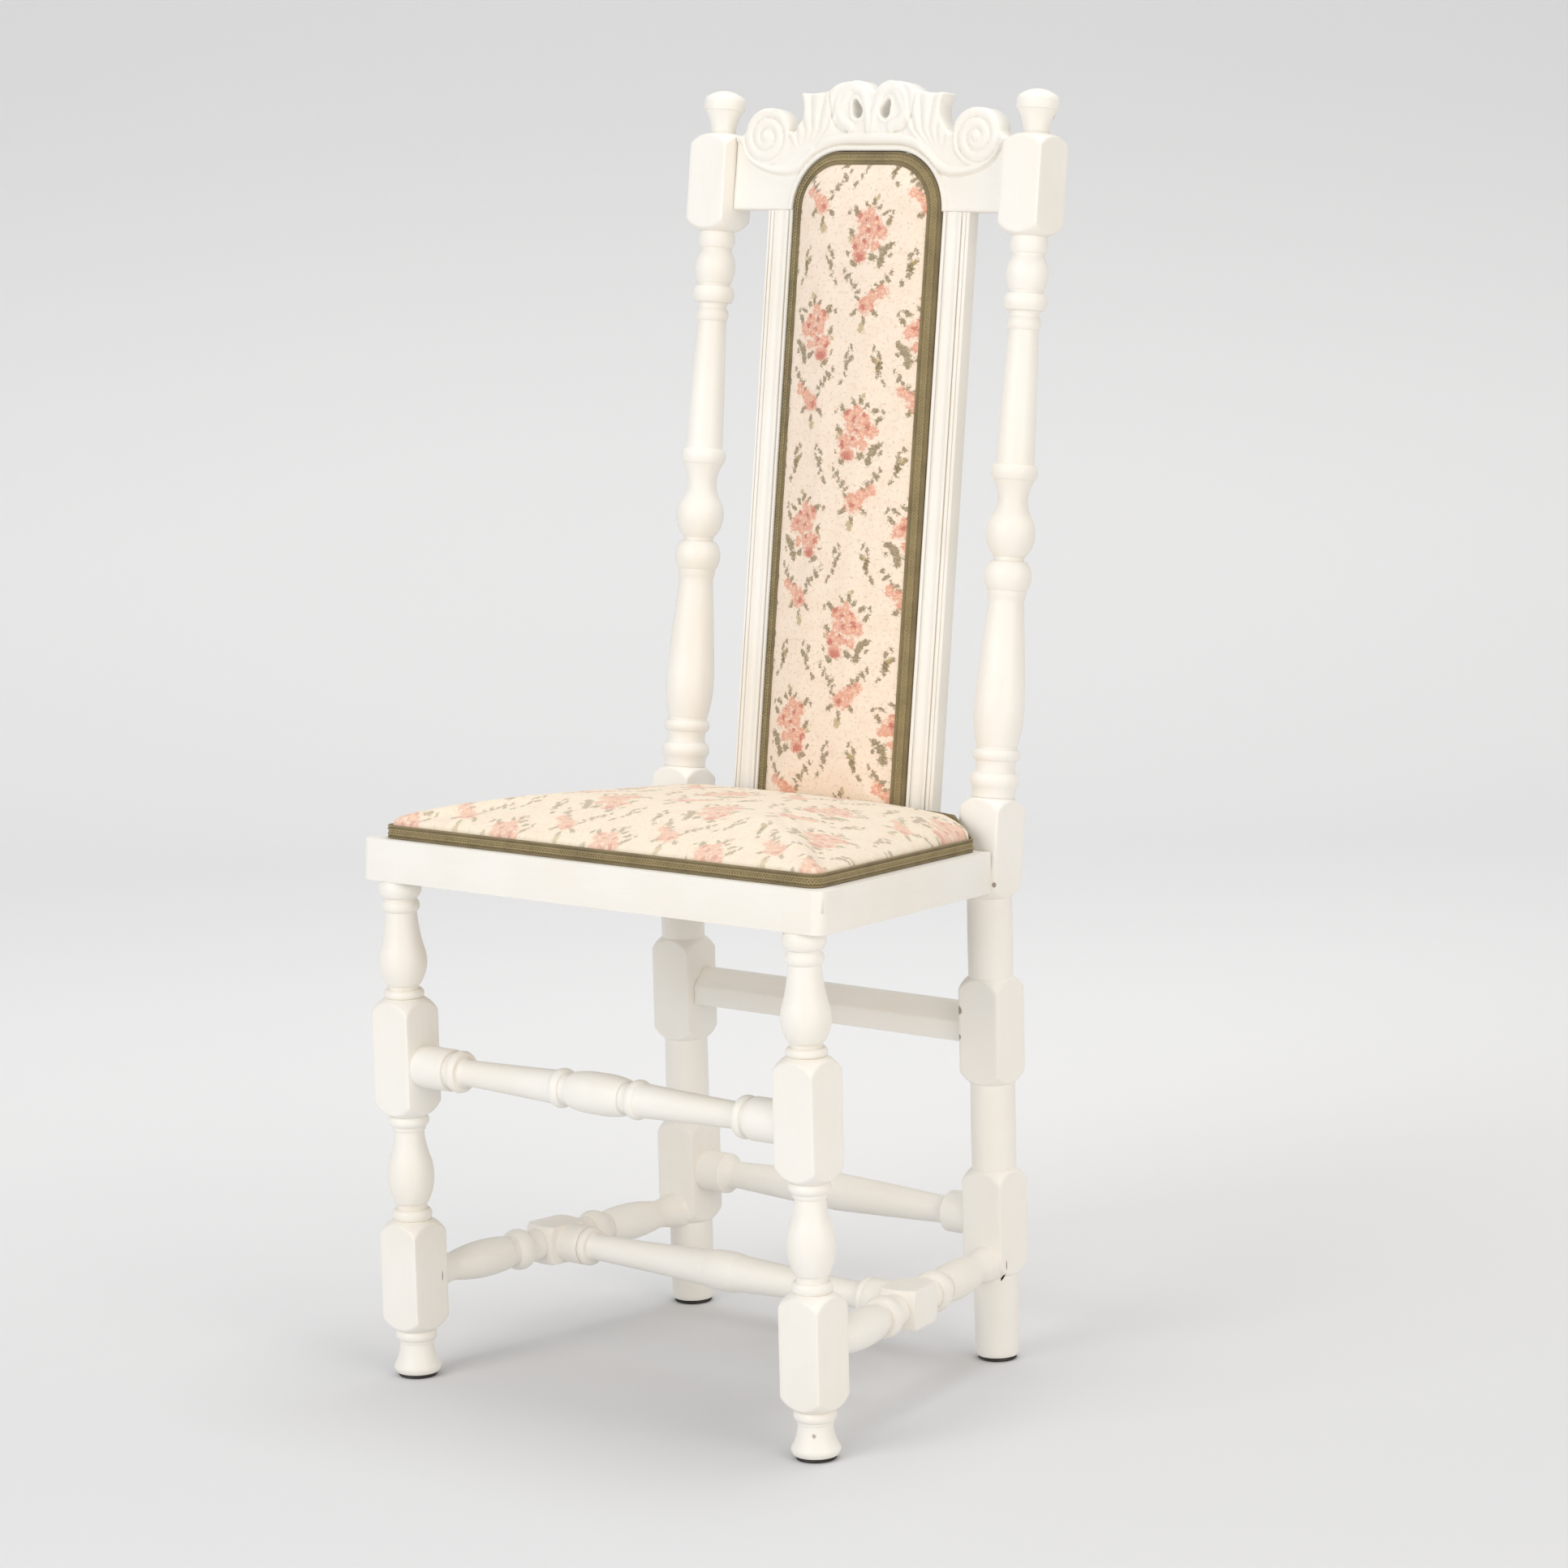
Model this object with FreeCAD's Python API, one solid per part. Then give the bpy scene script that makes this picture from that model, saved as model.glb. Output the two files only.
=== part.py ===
# Side chair with turned legs, a carved and pierced crest rail and an upholstered seat and back panel.
# Millimetres, +Z up. The chair faces -Y and stands on z = 0, under the middle of its outer box.
import FreeCAD, Part
import math
import os

from FreeCAD import Placement, Rotation, Vector

os.makedirs("parts", exist_ok=True)

# Places of the legs and posts
front_leg_spacing = 456.0
rear_post_spacing = 356.0
leg_depth_spacing = 333.0
stock = 43.0

# Heights above the floor
glide_thickness = 4.0
front_lower_block_base = 43.0
front_lower_block_height = 102.0
front_upper_block_height = 108.0
rear_lower_block_base = 80.0
rear_lower_block_height = 97.0
rear_upper_block_height = 97.0
seat_frame_base = 455.0
post_top = 1137.0

# The upper blocks stand between what is below and above them: the share of the free length that is below
front_gap_share = 0.475
rear_gap_share = 0.52

# Heights that keep their distance from the seat frame's base or from the post's top
seat_block_drop = 29.0
seat_block_rise = 59.0
rake_drop = 5.0
crest_block_drop = 129.0
crest_block_height = 90.0
crest_drop = 109.0

# Upper posts
rake_angle = 8.0
cap_diameter = 38.5
cap_edge_inset = 1.25

# Fits
fit_gap = 0.3
overrun = 8.0
bar_tenon_thickness = 10.0
bar_tenon_height = 20.0
bar_tenon_length = 24.0
leg_tenon_side = 20.0
leg_tenon_cover = 6.0
leg_top_trim = 2.0

# Seat frame, level before it is tilted back about the tops of the front legs
seat_tilt = 4.0
rail_height = 37.0
front_rail_width = 40.0
side_rail_width = 40.0
rear_rail_width = 36.0
front_rail_setback = 3.0
frame_side_overhang = 11.0
frame_rear_inset = 4.0
frame_corner_radius = 10.0
rail_tenon_thickness = 12.0
rail_tenon_height = 25.0
side_rail_tenon_length = 22.0
rear_rail_tenon_thickness = 10.0
rear_rail_tenon_length = 24.0
mortise_wall = 2.0
corner_block_leg = 42.0
corner_block_height = 30.0

# Stretchers and rails between the legs
front_stretcher_rise = 47.0
side_stretcher_height = 92.0
back_stretcher_rise = 50.0
stretcher_diameter = 38.0
cross_stretcher_diameter = 36.0
middle_block_side = 36.0
middle_block_length = 46.0
stretcher_skew = 4.0
back_rail_rise = 52.0
back_rail_height = 32.0
back_rail_depth = 26.0
back_rail_chamfer = 14.0
back_rail_tenon_length = 22.0

# Crest rail, measured up the raked posts
crest_height = 117.0
crest_board = 17.0
crest_relief = 4.0
crest_tenon_length = 20.0
crest_tenon_height = 34.0
crest_tenon_base = 16.0
crest_tenon_thickness = 10.0
crest_border_width = 5.0
pierced_radius = 7.0

# Back panel
panel_half_width = 84.5
arch_height = 54.0
stile_face_width = 30.0
stile_thickness = 16.0
stile_tenon_length = 16.0
stile_tenon_width = 26.0
stile_tenon_thickness = 8.0
stile_bead_radius = 2.6
stile_quirk_depth = 1.6
rebate_width = 9.0
rebate_depth = 4.0
panel_foot_rise = 7.0
canvas_thickness = 1.0
lining_thickness = 1.0
back_gimp_reach = 14.0
back_edge_height = 12.0
back_crown = 8.0

# Seat upholstery
seat_edge_inset = 12.0
seat_rear_reach = 7.5
seat_edge_height = 12.5
seat_crown = 27.0
seat_post_clearance = 2.0
seat_corner_pitch = 0.35
gimp_thickness = 2.4
web_width = 50.0
web_thickness = 1.2
web_end_inset = 22.0
web_rear_reach = 4.5
web_rows = 3
hessian_thickness = 1.0
hessian_inset = 6.0

# Foot glides
glide_diameter = 35.0

# Sizes worked out from the ones above
across = Vector(1, 0, 0)
upright = Vector(0, 0, 1)
half_stock = stock / 2
seat_block_base = seat_frame_base - seat_block_drop
seat_block_top = seat_frame_base + seat_block_rise
rake_start = seat_frame_base - rake_drop
crest_block_base = post_top - crest_block_drop
crest_base = post_top - crest_drop
front_lower_block_top = front_lower_block_base + front_lower_block_height
rear_lower_block_top = rear_lower_block_base + rear_lower_block_height
front_free_length = seat_frame_base - front_upper_block_height - front_lower_block_top
rear_free_length = seat_block_base - rear_upper_block_height - rear_lower_block_top
front_upper_block_base = front_lower_block_top + front_gap_share * front_free_length
rear_upper_block_base = rear_lower_block_top + rear_gap_share * rear_free_length
front_stretcher_height = front_upper_block_base + front_stretcher_rise
back_stretcher_height = rear_lower_block_base + back_stretcher_rise
back_rail_center = rear_upper_block_base + back_rail_rise
rake_cosine = math.cos(math.radians(rake_angle))
rake_sine = math.sin(math.radians(rake_angle))


def up_the_rake(height):
    return (height - rake_start) / rake_cosine


finial_reach = up_the_rake(post_top) * rake_sine + cap_diameter / 2 * rake_cosine - cap_edge_inset
overall_depth = half_stock + leg_depth_spacing + finial_reach
front_leg_x = front_leg_spacing / 2
rear_post_x = rear_post_spacing / 2
front_leg_y = half_stock - overall_depth / 2
rear_post_y = front_leg_y + leg_depth_spacing
post_front_face = rear_post_y - half_stock
post_inner_face = rear_post_x - half_stock

# Turnings. Each row is one form: its share of the length, and its radius at the start, middle and end as
# shares of half the stock. A row without a middle is straight, any other is an arc.
core_shares = (
    (1.00, 0.72, None, 0.72),
)
front_foot_shares = (
    (0.16, 0.90, 0.96, 0.97),
    (0.58, 0.97, 0.77, 0.70),
    (0.26, 0.76, 0.88, 0.76),
)
lower_baluster_shares = (
    (0.10, 0.74, 0.85, 0.74),
    (0.06, 0.64, None, 0.64),
    (0.42, 0.68, 0.97, 0.88),
    (0.28, 0.88, 0.71, 0.62),
    (0.14, 0.72, 0.87, 0.76),
)
upper_baluster_shares = (
    (0.07, 0.74, 0.85, 0.74),
    (0.04, 0.64, None, 0.64),
    (0.32, 0.68, 0.98, 0.90),
    (0.31, 0.90, 0.74, 0.65),
    (0.09, 0.69, 0.80, 0.69),
    (0.17, 0.76, 0.91, 0.78),
)
leg_top_shares = (
    (1.00, 0.78, None, 0.78),
)
rear_round_shares = (
    (1.00, 0.93, None, 0.93),
)
upper_post_shares = (
    (0.014, 0.88, None, 0.88),
    (0.032, 0.88, 0.98, 0.88),
    (0.020, 0.88, 0.80, 0.87),
    (0.020, 0.87, 0.97, 0.87),
    (0.090, 0.84, 0.97, 0.98),
    (0.172, 0.98, 0.87, 0.74),
    (0.074, 0.78, 0.98, 0.76),
    (0.008, 0.64, None, 0.64),
    (0.070, 0.66, 0.98, 0.88),
    (0.068, 0.88, 0.63, 0.86),
    (0.030, 0.86, 0.96, 0.84),
    (0.236, 0.80, 0.72, 0.62),
    (0.022, 0.62, 0.71, 0.62),
    (0.012, 0.62, None, 0.62),
    (0.032, 0.78, 0.91, 0.78),
    (0.064, 0.70, 0.89, 0.68),
    (0.036, 0.70, 0.80, 0.72),
)
finial_shares = (
    (0.08, 0.70, None, 0.62),
    (0.50, 0.62, 0.68, 0.96),
    (0.20, 1.00, None, 1.00),
    (0.22, 0.96, 0.84, 0.12),
)
long_stretcher_shares = (
    (0.170, 1.00, None, 1.00),
    (0.022, 0.86, None, 0.86),
    (0.046, 0.88, 0.99, 0.88),
    (0.030, 0.72, 0.64, 0.62),
    (0.500, 0.62, 0.69, 0.80),
    (0.050, 0.82, 0.93, 0.82),
    (0.040, 0.74, 0.70, 0.74),
    (0.142, 0.86, 0.95, 0.97),
)
plain_stretcher_shares = (
    (0.17, 1.00, None, 1.00),
    (0.08, 1.00, 0.74, 0.66),
    (0.75, 0.66, 0.80, 0.92),
)
cross_stretcher_shares = (
    (0.16, 1.00, None, 1.00),
    (0.08, 1.00, 0.76, 0.66),
    (0.68, 0.66, 0.77, 0.92),
    (0.08, 0.95, 1.01, 1.02),
)
side_arm_shares = (
    (0.24, 1.06, 0.80, 0.68),
    (0.47, 0.68, 0.91, 0.78),
    (0.05, 0.72, None, 0.72),
    (0.13, 0.84, 1.00, 0.84),
    (0.11, 0.76, None, 0.76),
)

# Turned members have this many flat sides, and straight steps along their arcs, which leave the arc by
# about this many millimetres at most and never turn by more than the largest turn. True rounds would have
# ten times the faces.
turning_sides = 20
step_tolerance = 0.6
largest_turn = math.radians(66)


# Shoulders of the square blocks: each row is a share of the block's length, and where the planes that cut
# back the corners meet the axes there, as a share of half the stock. At twice that they clear the corners.
shoulder_shares = (
    (0.00, 1.45), (0.15, 2.04), (0.85, 2.04), (1.00, 1.45),
)


def upside_down(rows):
    return tuple((height_share, end, middle, start) for height_share, start, middle, end in reversed(rows))


# Turned and placed solids
def row_points(start, middle, end):
    if middle is None:
        return [start, end]
    arc = Part.Arc(start, middle, end).toShape()
    radius = arc.Curve.Radius
    turn = arc.Length / radius
    rise = radius * (1 - math.cos(turn / 2))
    steps = max(math.ceil(turn / largest_turn), math.ceil(math.sqrt(rise / step_tolerance)))
    return arc.discretize(steps + 1)


def profile_points(base, sections):
    # Sections are (length, half stock, rows), stacked from base upwards. A point is (radius, 0, height).
    points = []
    height = base
    for length, half, rows in sections:
        for height_share, start_share, middle_share, end_share in rows:
            start = Vector(start_share * half, 0, height)
            end = Vector(end_share * half, 0, height + height_share * length)
            middle = None
            if middle_share is not None:
                middle = Vector(middle_share * half, 0, (start.z + end.z) / 2)
            points += row_points(start, middle, end)
            height = end.z
    return points


def skinned(rows):
    # A solid through rows of corners, with flat faces between each row and the next.
    faces = [Part.Face(Part.makePolygon(row + row[:1])) for row in (rows[0], rows[-1])]
    for lower, upper in zip(rows, rows[1:]):
        for k in range(len(lower)):
            corners = [lower[k - 1], lower[k], upper[k], upper[k - 1]]
            faces.append(Part.Face(Part.makePolygon(corners + corners[:1])))
    shell = Part.makeShell(faces)
    shell.sewShape()
    return Part.makeSolid(shell)


def turned(base, sections):
    rows = []
    for point in profile_points(base, sections):
        row = [Rotation(upright, k * 360 / turning_sides).multVec(point) for k in range(turning_sides)]
        if not rows or not row[0].isEqual(rows[-1][0], fit_gap / 10):
            rows.append(row)
    return skinned(rows)


def square_block(base, length, side):
    diamonds = []
    for height_share, reach_share in shoulder_shares:
        reach = reach_share * side / 2
        height = base + height_share * length
        corners = [Vector(reach * x, reach * y, height) for x, y in ((1, 0), (0, 1), (-1, 0), (0, -1))]
        diamonds.append(Part.makePolygon(corners + corners[:1]))
    return square_bar(side, base, base + length).common(Part.makeLoft(diamonds, True, True))


def box(x_from, x_to, y_from, y_to, z_from, z_to):
    corner = Vector(x_from, y_from, z_from)
    return Part.makeBox(x_to - x_from, y_to - y_from, z_to - z_from, corner)


def square_bar(side, z_from, z_to):
    return box(-side / 2, side / 2, -side / 2, side / 2, z_from, z_to)


def prism(points, z_from, z_to):
    corners = [Vector(x, y, z_from) for x, y in points]
    wire = Part.makePolygon(corners + corners[:1])
    return Part.Face(wire).extrude(Vector(0, 0, z_to - z_from))


def moved(shape, x, y, z):
    return shape.translated(Vector(x, y, z))


def mirrored(shape):
    return shape.mirror(Vector(0, 0, 0), Vector(1, 0, 0))


def placed(shape, placement):
    copy = shape.copy()
    copy.Placement = placement.multiply(copy.Placement)
    return copy


def along_x(shape):
    # Lays a solid built up the Z axis along +X.
    return placed(shape, Placement(Vector(), Rotation(Vector(0, 1, 0), 90)))


def raked(shape):
    # Takes a solid from the frame of the raked posts, whose origin is on their axes where the rake starts.
    rotation = Rotation(Vector(1, 0, 0), -rake_angle)
    return placed(shape, Placement(Vector(0, rear_post_y, rake_start), rotation))


def tilted(shape):
    # Tilts a piece of the seat frame, built level on the tops of the front legs.
    pivot = Vector(0, front_leg_y, seat_frame_base)
    rotation = Rotation(Vector(1, 0, 0), -seat_tilt)
    return placed(shape, Placement(Vector(), rotation, pivot))


def save(name, *solids):
    shape = solids[0] if len(solids) == 1 else Part.makeCompound(list(solids))
    if not shape.isValid():
        print("not valid:", name)
    shape.exportStep("parts/" + name + ".step")
    volume = sum(solid.Volume for solid in shape.Solids)
    print(f"{name}: {len(shape.Solids)} solid, {volume / 1000:.1f} ml")


# Flat tenons of the turned bars, and with a clearance their mortises, from a start point along a direction
def bar_tenon(start, direction, clearance):
    # Starts inside the bar that it belongs to, because some shoulders are cut at an angle.
    half_thickness = bar_tenon_thickness / 2 + clearance
    half_height = bar_tenon_height / 2 + clearance
    tongue = box(-stretcher_skew, bar_tenon_length + clearance, -half_thickness, half_thickness,
                 -half_height, half_height)
    return placed(tongue, Placement(start, Rotation(across, direction)))


# The side stretchers run from the front leg's axis to the rear post's axis
side_run = Vector(rear_post_x - front_leg_x, leg_depth_spacing, 0)
side_direction = Vector(side_run).normalize()
side_yaw = math.degrees(math.atan2(-side_run.x, side_run.y))
side_start = Vector(front_leg_x, front_leg_y, side_stretcher_height)
side_middle = side_start + side_run * 0.5
side_face_distance = half_stock / side_direction.y


def side_point(distance):
    return side_start + side_direction * distance


side_length = side_run.Length
side_placement = Placement(side_start, Rotation(Vector(0, 0, 1), side_yaw).multiply(Rotation(across, -90)))
side_front_end = side_point(side_face_distance)
side_rear_end = side_point(side_length - side_face_distance)

# Places of the other round joints
front_stretcher_end = Vector(front_leg_x - half_stock, front_leg_y, front_stretcher_height)
back_stretcher_end = Vector(post_inner_face, rear_post_y, back_stretcher_height)
cross_face_x = side_middle.x - middle_block_side / 2 / side_direction.y
cross_end = Vector(cross_face_x, side_middle.y, side_stretcher_height)


# Front legs
def front_leg():
    foot_height = front_lower_block_base - glide_thickness
    lower_gap = front_upper_block_base - front_lower_block_top
    upper_gap = seat_frame_base - front_upper_block_base - front_upper_block_height
    sections = (
        (foot_height, half_stock, front_foot_shares),
        (front_lower_block_height, half_stock, core_shares),
        (lower_gap, half_stock, lower_baluster_shares),
        (front_upper_block_height, half_stock, core_shares),
        (upper_gap, half_stock, upper_baluster_shares),
        (leg_top_trim, half_stock, leg_top_shares),
    )
    leg = turned(glide_thickness, sections)
    leg = leg.fuse(square_block(front_lower_block_base, front_lower_block_height, stock))
    leg = leg.fuse(square_block(front_upper_block_base, front_upper_block_height, stock))
    leg = moved(leg, front_leg_x, front_leg_y, 0)
    above = box(0, frame_half_front, frame_front, front_leg_y + stock, seat_frame_base, frame_top)
    leg = leg.cut(tilted(above))
    leg = leg.fuse(leg_tenon(0)).removeSplitter()
    leg = leg.cut(bar_tenon(front_stretcher_end, across, fit_gap))
    return leg.cut(bar_tenon(side_front_end, side_direction * -1, fit_gap))


def leg_tenon(clearance):
    side = leg_tenon_side + 2 * clearance
    top = seat_frame_base + rail_height - leg_tenon_cover + clearance
    return moved(square_bar(side, seat_frame_base - overrun, top), front_leg_x, front_leg_y, 0)


# Rear posts, one piece from the floor to the finial
def rear_post():
    foot_height = rear_lower_block_base - glide_thickness
    middle_height = rear_upper_block_base - rear_lower_block_top
    under_seat_height = seat_block_base - rear_upper_block_base - rear_upper_block_height
    seat_block_height = seat_block_top - seat_block_base
    lower_sections = (
        (foot_height, half_stock, rear_round_shares),
        (rear_lower_block_height, half_stock, core_shares),
        (middle_height, half_stock, rear_round_shares),
        (rear_upper_block_height, half_stock, core_shares),
        (under_seat_height, half_stock, rear_round_shares),
        (seat_block_height, half_stock, core_shares),
    )
    lower = turned(glide_thickness, lower_sections)
    lower = lower.fuse(square_block(rear_lower_block_base, rear_lower_block_height, stock))
    lower = lower.fuse(square_block(rear_upper_block_base, rear_upper_block_height, stock))
    lower = lower.fuse(square_block(seat_block_base, seat_block_height, stock))
    lower = lower.cut(beyond_kink(1))
    lower = moved(lower, rear_post_x, rear_post_y, 0)

    block_start = up_the_rake(seat_block_base)
    block_length = up_the_rake(seat_block_top) - block_start
    crest_start = up_the_rake(crest_block_base)
    upper_sections = (
        (block_length, half_stock, core_shares),
        (crest_start - block_start - block_length, half_stock, upper_post_shares),
        (crest_block_height, half_stock, core_shares),
        (up_the_rake(post_top) - crest_start - crest_block_height, cap_diameter / 2, finial_shares),
    )
    upper = turned(block_start, upper_sections)
    upper = upper.fuse(square_block(block_start, block_length, stock))
    upper = upper.fuse(square_block(crest_start, crest_block_height, stock))
    upper = moved(raked(upper), rear_post_x, 0, 0)
    upper = upper.cut(moved(beyond_kink(-1), rear_post_x, rear_post_y, 0))

    post = lower.fuse(upper).removeSplitter()
    post = post.cut(bar_tenon(side_rear_end, side_direction, fit_gap))
    post = post.cut(bar_tenon(back_stretcher_end, across, fit_gap))
    post = post.cut(back_rail_tenon(fit_gap))
    post = post.cut(side_rail_tenon(fit_gap))
    post = post.cut(rear_rail_tenon(fit_gap))
    return post.cut(crest_tenon(fit_gap))


def beyond_kink(side):
    # Half space above (1) or below (-1) the plane that halves the angle between the post's two axes.
    size = post_top
    height = size * side
    block = box(-size, size, -size, size, min(0, height), max(0, height))
    rotation = Rotation(Vector(1, 0, 0), -rake_angle / 2)
    return placed(block, Placement(Vector(0, 0, rake_start), rotation))


# Seat frame, built level and tilted once as a whole
frame_front = front_leg_y - half_stock + front_rail_setback
frame_half_front = front_leg_x + half_stock + frame_side_overhang
frame_half_rear = rear_post_x + half_stock - frame_rear_inset
frame_slope = (frame_half_front - frame_half_rear) / (post_front_face - frame_front)
frame_top = seat_frame_base + rail_height
frame_rear_top = frame_top - leg_depth_spacing * math.sin(math.radians(seat_tilt))
side_rail_span = side_rail_width * math.hypot(1, frame_slope)


def frame_edge(y, inset=0.0):
    return frame_half_front - frame_slope * (y - frame_front) - inset * math.hypot(1, frame_slope)


def frame_outline():
    rear = rear_post_y
    front = [(-frame_edge(frame_front), frame_front), (frame_edge(frame_front), frame_front)]
    back = [(frame_edge(rear), rear), (-frame_edge(rear), rear)]
    solid = prism(front + back, seat_frame_base, frame_top)
    corners = [edge for edge in solid.Edges if is_upright(edge) and edge.CenterOfMass.y < front_leg_y]
    return solid.makeFillet(frame_corner_radius, corners)


def is_upright(edge):
    start, end = edge.Vertexes[0].Point, edge.Vertexes[-1].Point
    return math.isclose(start.x, end.x, abs_tol=fit_gap) and math.isclose(start.y, end.y, abs_tol=fit_gap)


def front_rail_bar():
    rear = frame_front + front_rail_width
    front = [(-frame_edge(frame_front), frame_front), (frame_edge(frame_front), frame_front)]
    back = [(frame_edge(rear), rear), (-frame_edge(rear), rear)]
    return prism(front + back, seat_frame_base, frame_top).common(frame_outline())


def side_rail_bar(z_from, z_to):
    rear = rear_post_y
    outer = [(frame_edge(frame_front), frame_front), (frame_edge(rear), rear)]
    inner = [(x - side_rail_span, y) for x, y in reversed(outer)]
    return prism(outer + inner, z_from, z_to)


def behind_post_face():
    # Everything behind the flat front faces of the seat blocks.
    size = frame_half_front + overrun
    return box(-size, size, post_front_face, rear_post_y + stock, 0, post_top)


lap_height = seat_frame_base + rail_height / 2


def front_rail():
    lower_lap = side_rail_bar(seat_frame_base, lap_height)
    rail = front_rail_bar().cut(lower_lap).cut(mirrored(lower_lap))
    rail = tilted(rail)
    hole = leg_tenon(fit_gap)
    return rail.cut(hole).cut(mirrored(hole))


def side_rail():
    upper_lap = front_rail_bar().common(box(0, frame_half_front, frame_front, front_leg_y + stock,
                                            lap_height, frame_top))
    rail = side_rail_bar(seat_frame_base, frame_top).common(frame_outline())
    rail = tilted(rail.cut(upper_lap)).cut(behind_post_face())
    rail = rail.fuse(side_rail_tenon(0)).removeSplitter()
    return rail.cut(leg_tenon(fit_gap))


def side_rail_tenon(clearance):
    middle = frame_edge(post_front_face) - side_rail_width / 2
    half = rail_tenon_thickness / 2 + clearance
    start = seat_frame_base + (rail_height - rail_tenon_height) / 2 - clearance
    tongue = box(middle - half, middle + half, post_front_face - overrun, rear_post_y,
                 start, start + rail_tenon_height + 2 * clearance)
    reach = post_front_face + side_rail_tenon_length + clearance
    slot = box(0, frame_half_front, post_front_face, reach, 0, post_top)
    return tilted(tongue).common(slot)


def rear_rail():
    reach = post_front_face + rear_rail_width
    bar = box(-post_inner_face, post_inner_face, post_front_face - overrun, reach,
              seat_frame_base, frame_top)
    front = box(-frame_half_front, frame_half_front, front_leg_y, post_front_face, 0, post_top)
    rail = tilted(bar).cut(front)
    tenon = rear_rail_tenon(0)
    rail = rail.fuse(tenon).fuse(mirrored(tenon)).removeSplitter()
    mortise = stile_tenon(fit_gap)
    return rail.cut(mortise).cut(mirrored(mortise))


def rear_rail_tenon(clearance):
    front = post_front_face + side_rail_tenon_length + mortise_wall - clearance
    rear = front + rear_rail_tenon_thickness + 2 * clearance
    start = seat_frame_base + (rail_height - rail_tenon_height) / 2 - clearance
    tongue = box(post_inner_face, post_inner_face + rear_rail_tenon_length + clearance, front, rear,
                 start, start + rail_tenon_height + 2 * clearance)
    return tilted(tongue)


def corner_block():
    front = frame_front + front_rail_width
    corner = frame_edge(front) - side_rail_span
    side_end = corner - frame_slope * corner_block_leg
    points = [(corner, front), (side_end, front + corner_block_leg), (corner - corner_block_leg, front)]
    return tilted(prism(points, frame_top - corner_block_height, frame_top))


# Stretchers
def laid_bar(end, diameter, shares):
    # A turned bar along X between the points at -x and +x of its end.
    radius = diameter / 2
    bar = turned(-end.x, ((end.x, radius, shares), (end.x, radius, upside_down(shares))))
    return moved(along_x(bar), 0, end.y, end.z)


def laid_stretcher(end, diameter, shares):
    tenon = bar_tenon(end, across, 0)
    bar = laid_bar(end, diameter, shares)
    return bar.fuse(tenon).fuse(mirrored(tenon)).removeSplitter()


def side_stretcher():
    block_start = (side_length - middle_block_length) / 2
    arm_start = side_face_distance - stretcher_skew
    arm = block_start - arm_start
    half = stretcher_diameter / 2
    turning = turned(arm_start, (
        (arm, half, side_arm_shares),
        (middle_block_length, middle_block_side / 2, core_shares),
        (arm, half, upside_down(side_arm_shares)),
    ))
    bar = turning.fuse(square_block(block_start, middle_block_length, middle_block_side))
    bar = placed(bar, side_placement)
    front_block = box(0, frame_half_front, front_leg_y - stock, front_leg_y + half_stock, 0, post_top)
    rear_block = box(0, frame_half_front, post_front_face, rear_post_y + stock, 0, post_top)
    bar = bar.cut(front_block).cut(rear_block)
    bar = bar.fuse(bar_tenon(side_front_end, side_direction * -1, 0))
    bar = bar.fuse(bar_tenon(side_rear_end, side_direction, 0)).removeSplitter()
    return bar.cut(bar_tenon(cross_end, across, fit_gap))


def cross_stretcher():
    # Its shoulders follow the inner faces of the side stretchers' square blocks, which run at an angle.
    bar = laid_bar(cross_end + across * stretcher_skew, cross_stretcher_diameter, cross_stretcher_shares)
    placement = Placement(side_middle, Rotation(upright, side_yaw))
    beyond = placed(box(-middle_block_side / 2, stock, -stock, stock, -stock, stock), placement)
    bar = bar.cut(beyond).cut(mirrored(beyond))
    tenon = bar_tenon(cross_end, across, 0)
    return bar.fuse(tenon).fuse(mirrored(tenon)).removeSplitter()


def back_rail():
    top = back_rail_center + back_rail_height / 2
    base = top - back_rail_height
    front = rear_post_y - back_rail_depth / 2
    rear = front + back_rail_depth
    section = [(front, base), (rear, base), (rear, top), (front + back_rail_chamfer, top),
               (front, top - back_rail_chamfer)]
    corners = [Vector(-post_inner_face, y, z) for y, z in section]
    face = Part.Face(Part.makePolygon(corners + corners[:1]))
    bar = face.extrude(across * (2 * post_inner_face))
    tenon = back_rail_tenon(0)
    return bar.fuse(tenon).fuse(mirrored(tenon)).removeSplitter()


def back_rail_tenon(clearance):
    half_depth = rail_tenon_thickness / 2 + clearance
    half_height = rail_tenon_height / 2 + clearance
    return box(post_inner_face, post_inner_face + back_rail_tenon_length + clearance,
               rear_post_y - half_depth, rear_post_y + half_depth,
               back_rail_center - half_height, back_rail_center + half_height)


# Crest rail, in the frame of the raked posts: x across, z up the rake, front at -y. The outline's rows are
# (end x, end z, middle x, middle z), as shares of the half width and of the height. No middle means a line.
crest_outline_shares = (
    (1.000, 0.573, None, None),
    (0.971, 0.573, None, None),
    (0.646, 0.641, 0.805, 0.795),
    (0.594, 0.590, None, None),
    (0.556, 0.910, 0.535, 0.730),
    (0.390, 0.925, None, None),
    (0.040, 0.955, 0.180, 1.000),
    (0.000, 0.930, None, None),
)
relief_border_shares = (
    (0.383, 0.393, None, None),
    (0.958, 0.427, 0.613, 0.270),
    (0.958, 1.000, None, None),
    (0.000, 1.000, None, None),
)
pierced_center_shares = (0.115, 0.755)
pierced_tip_shares = (0.155, 0.885)
crest_foot = up_the_rake(crest_base)
crest_back = (crest_board + crest_relief) / 2
crest_front = -crest_back
board_front = crest_front + crest_relief


def crest_point(x_share, z_share):
    return Vector(x_share * post_inner_face, 0, crest_foot + z_share * crest_height)


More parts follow.
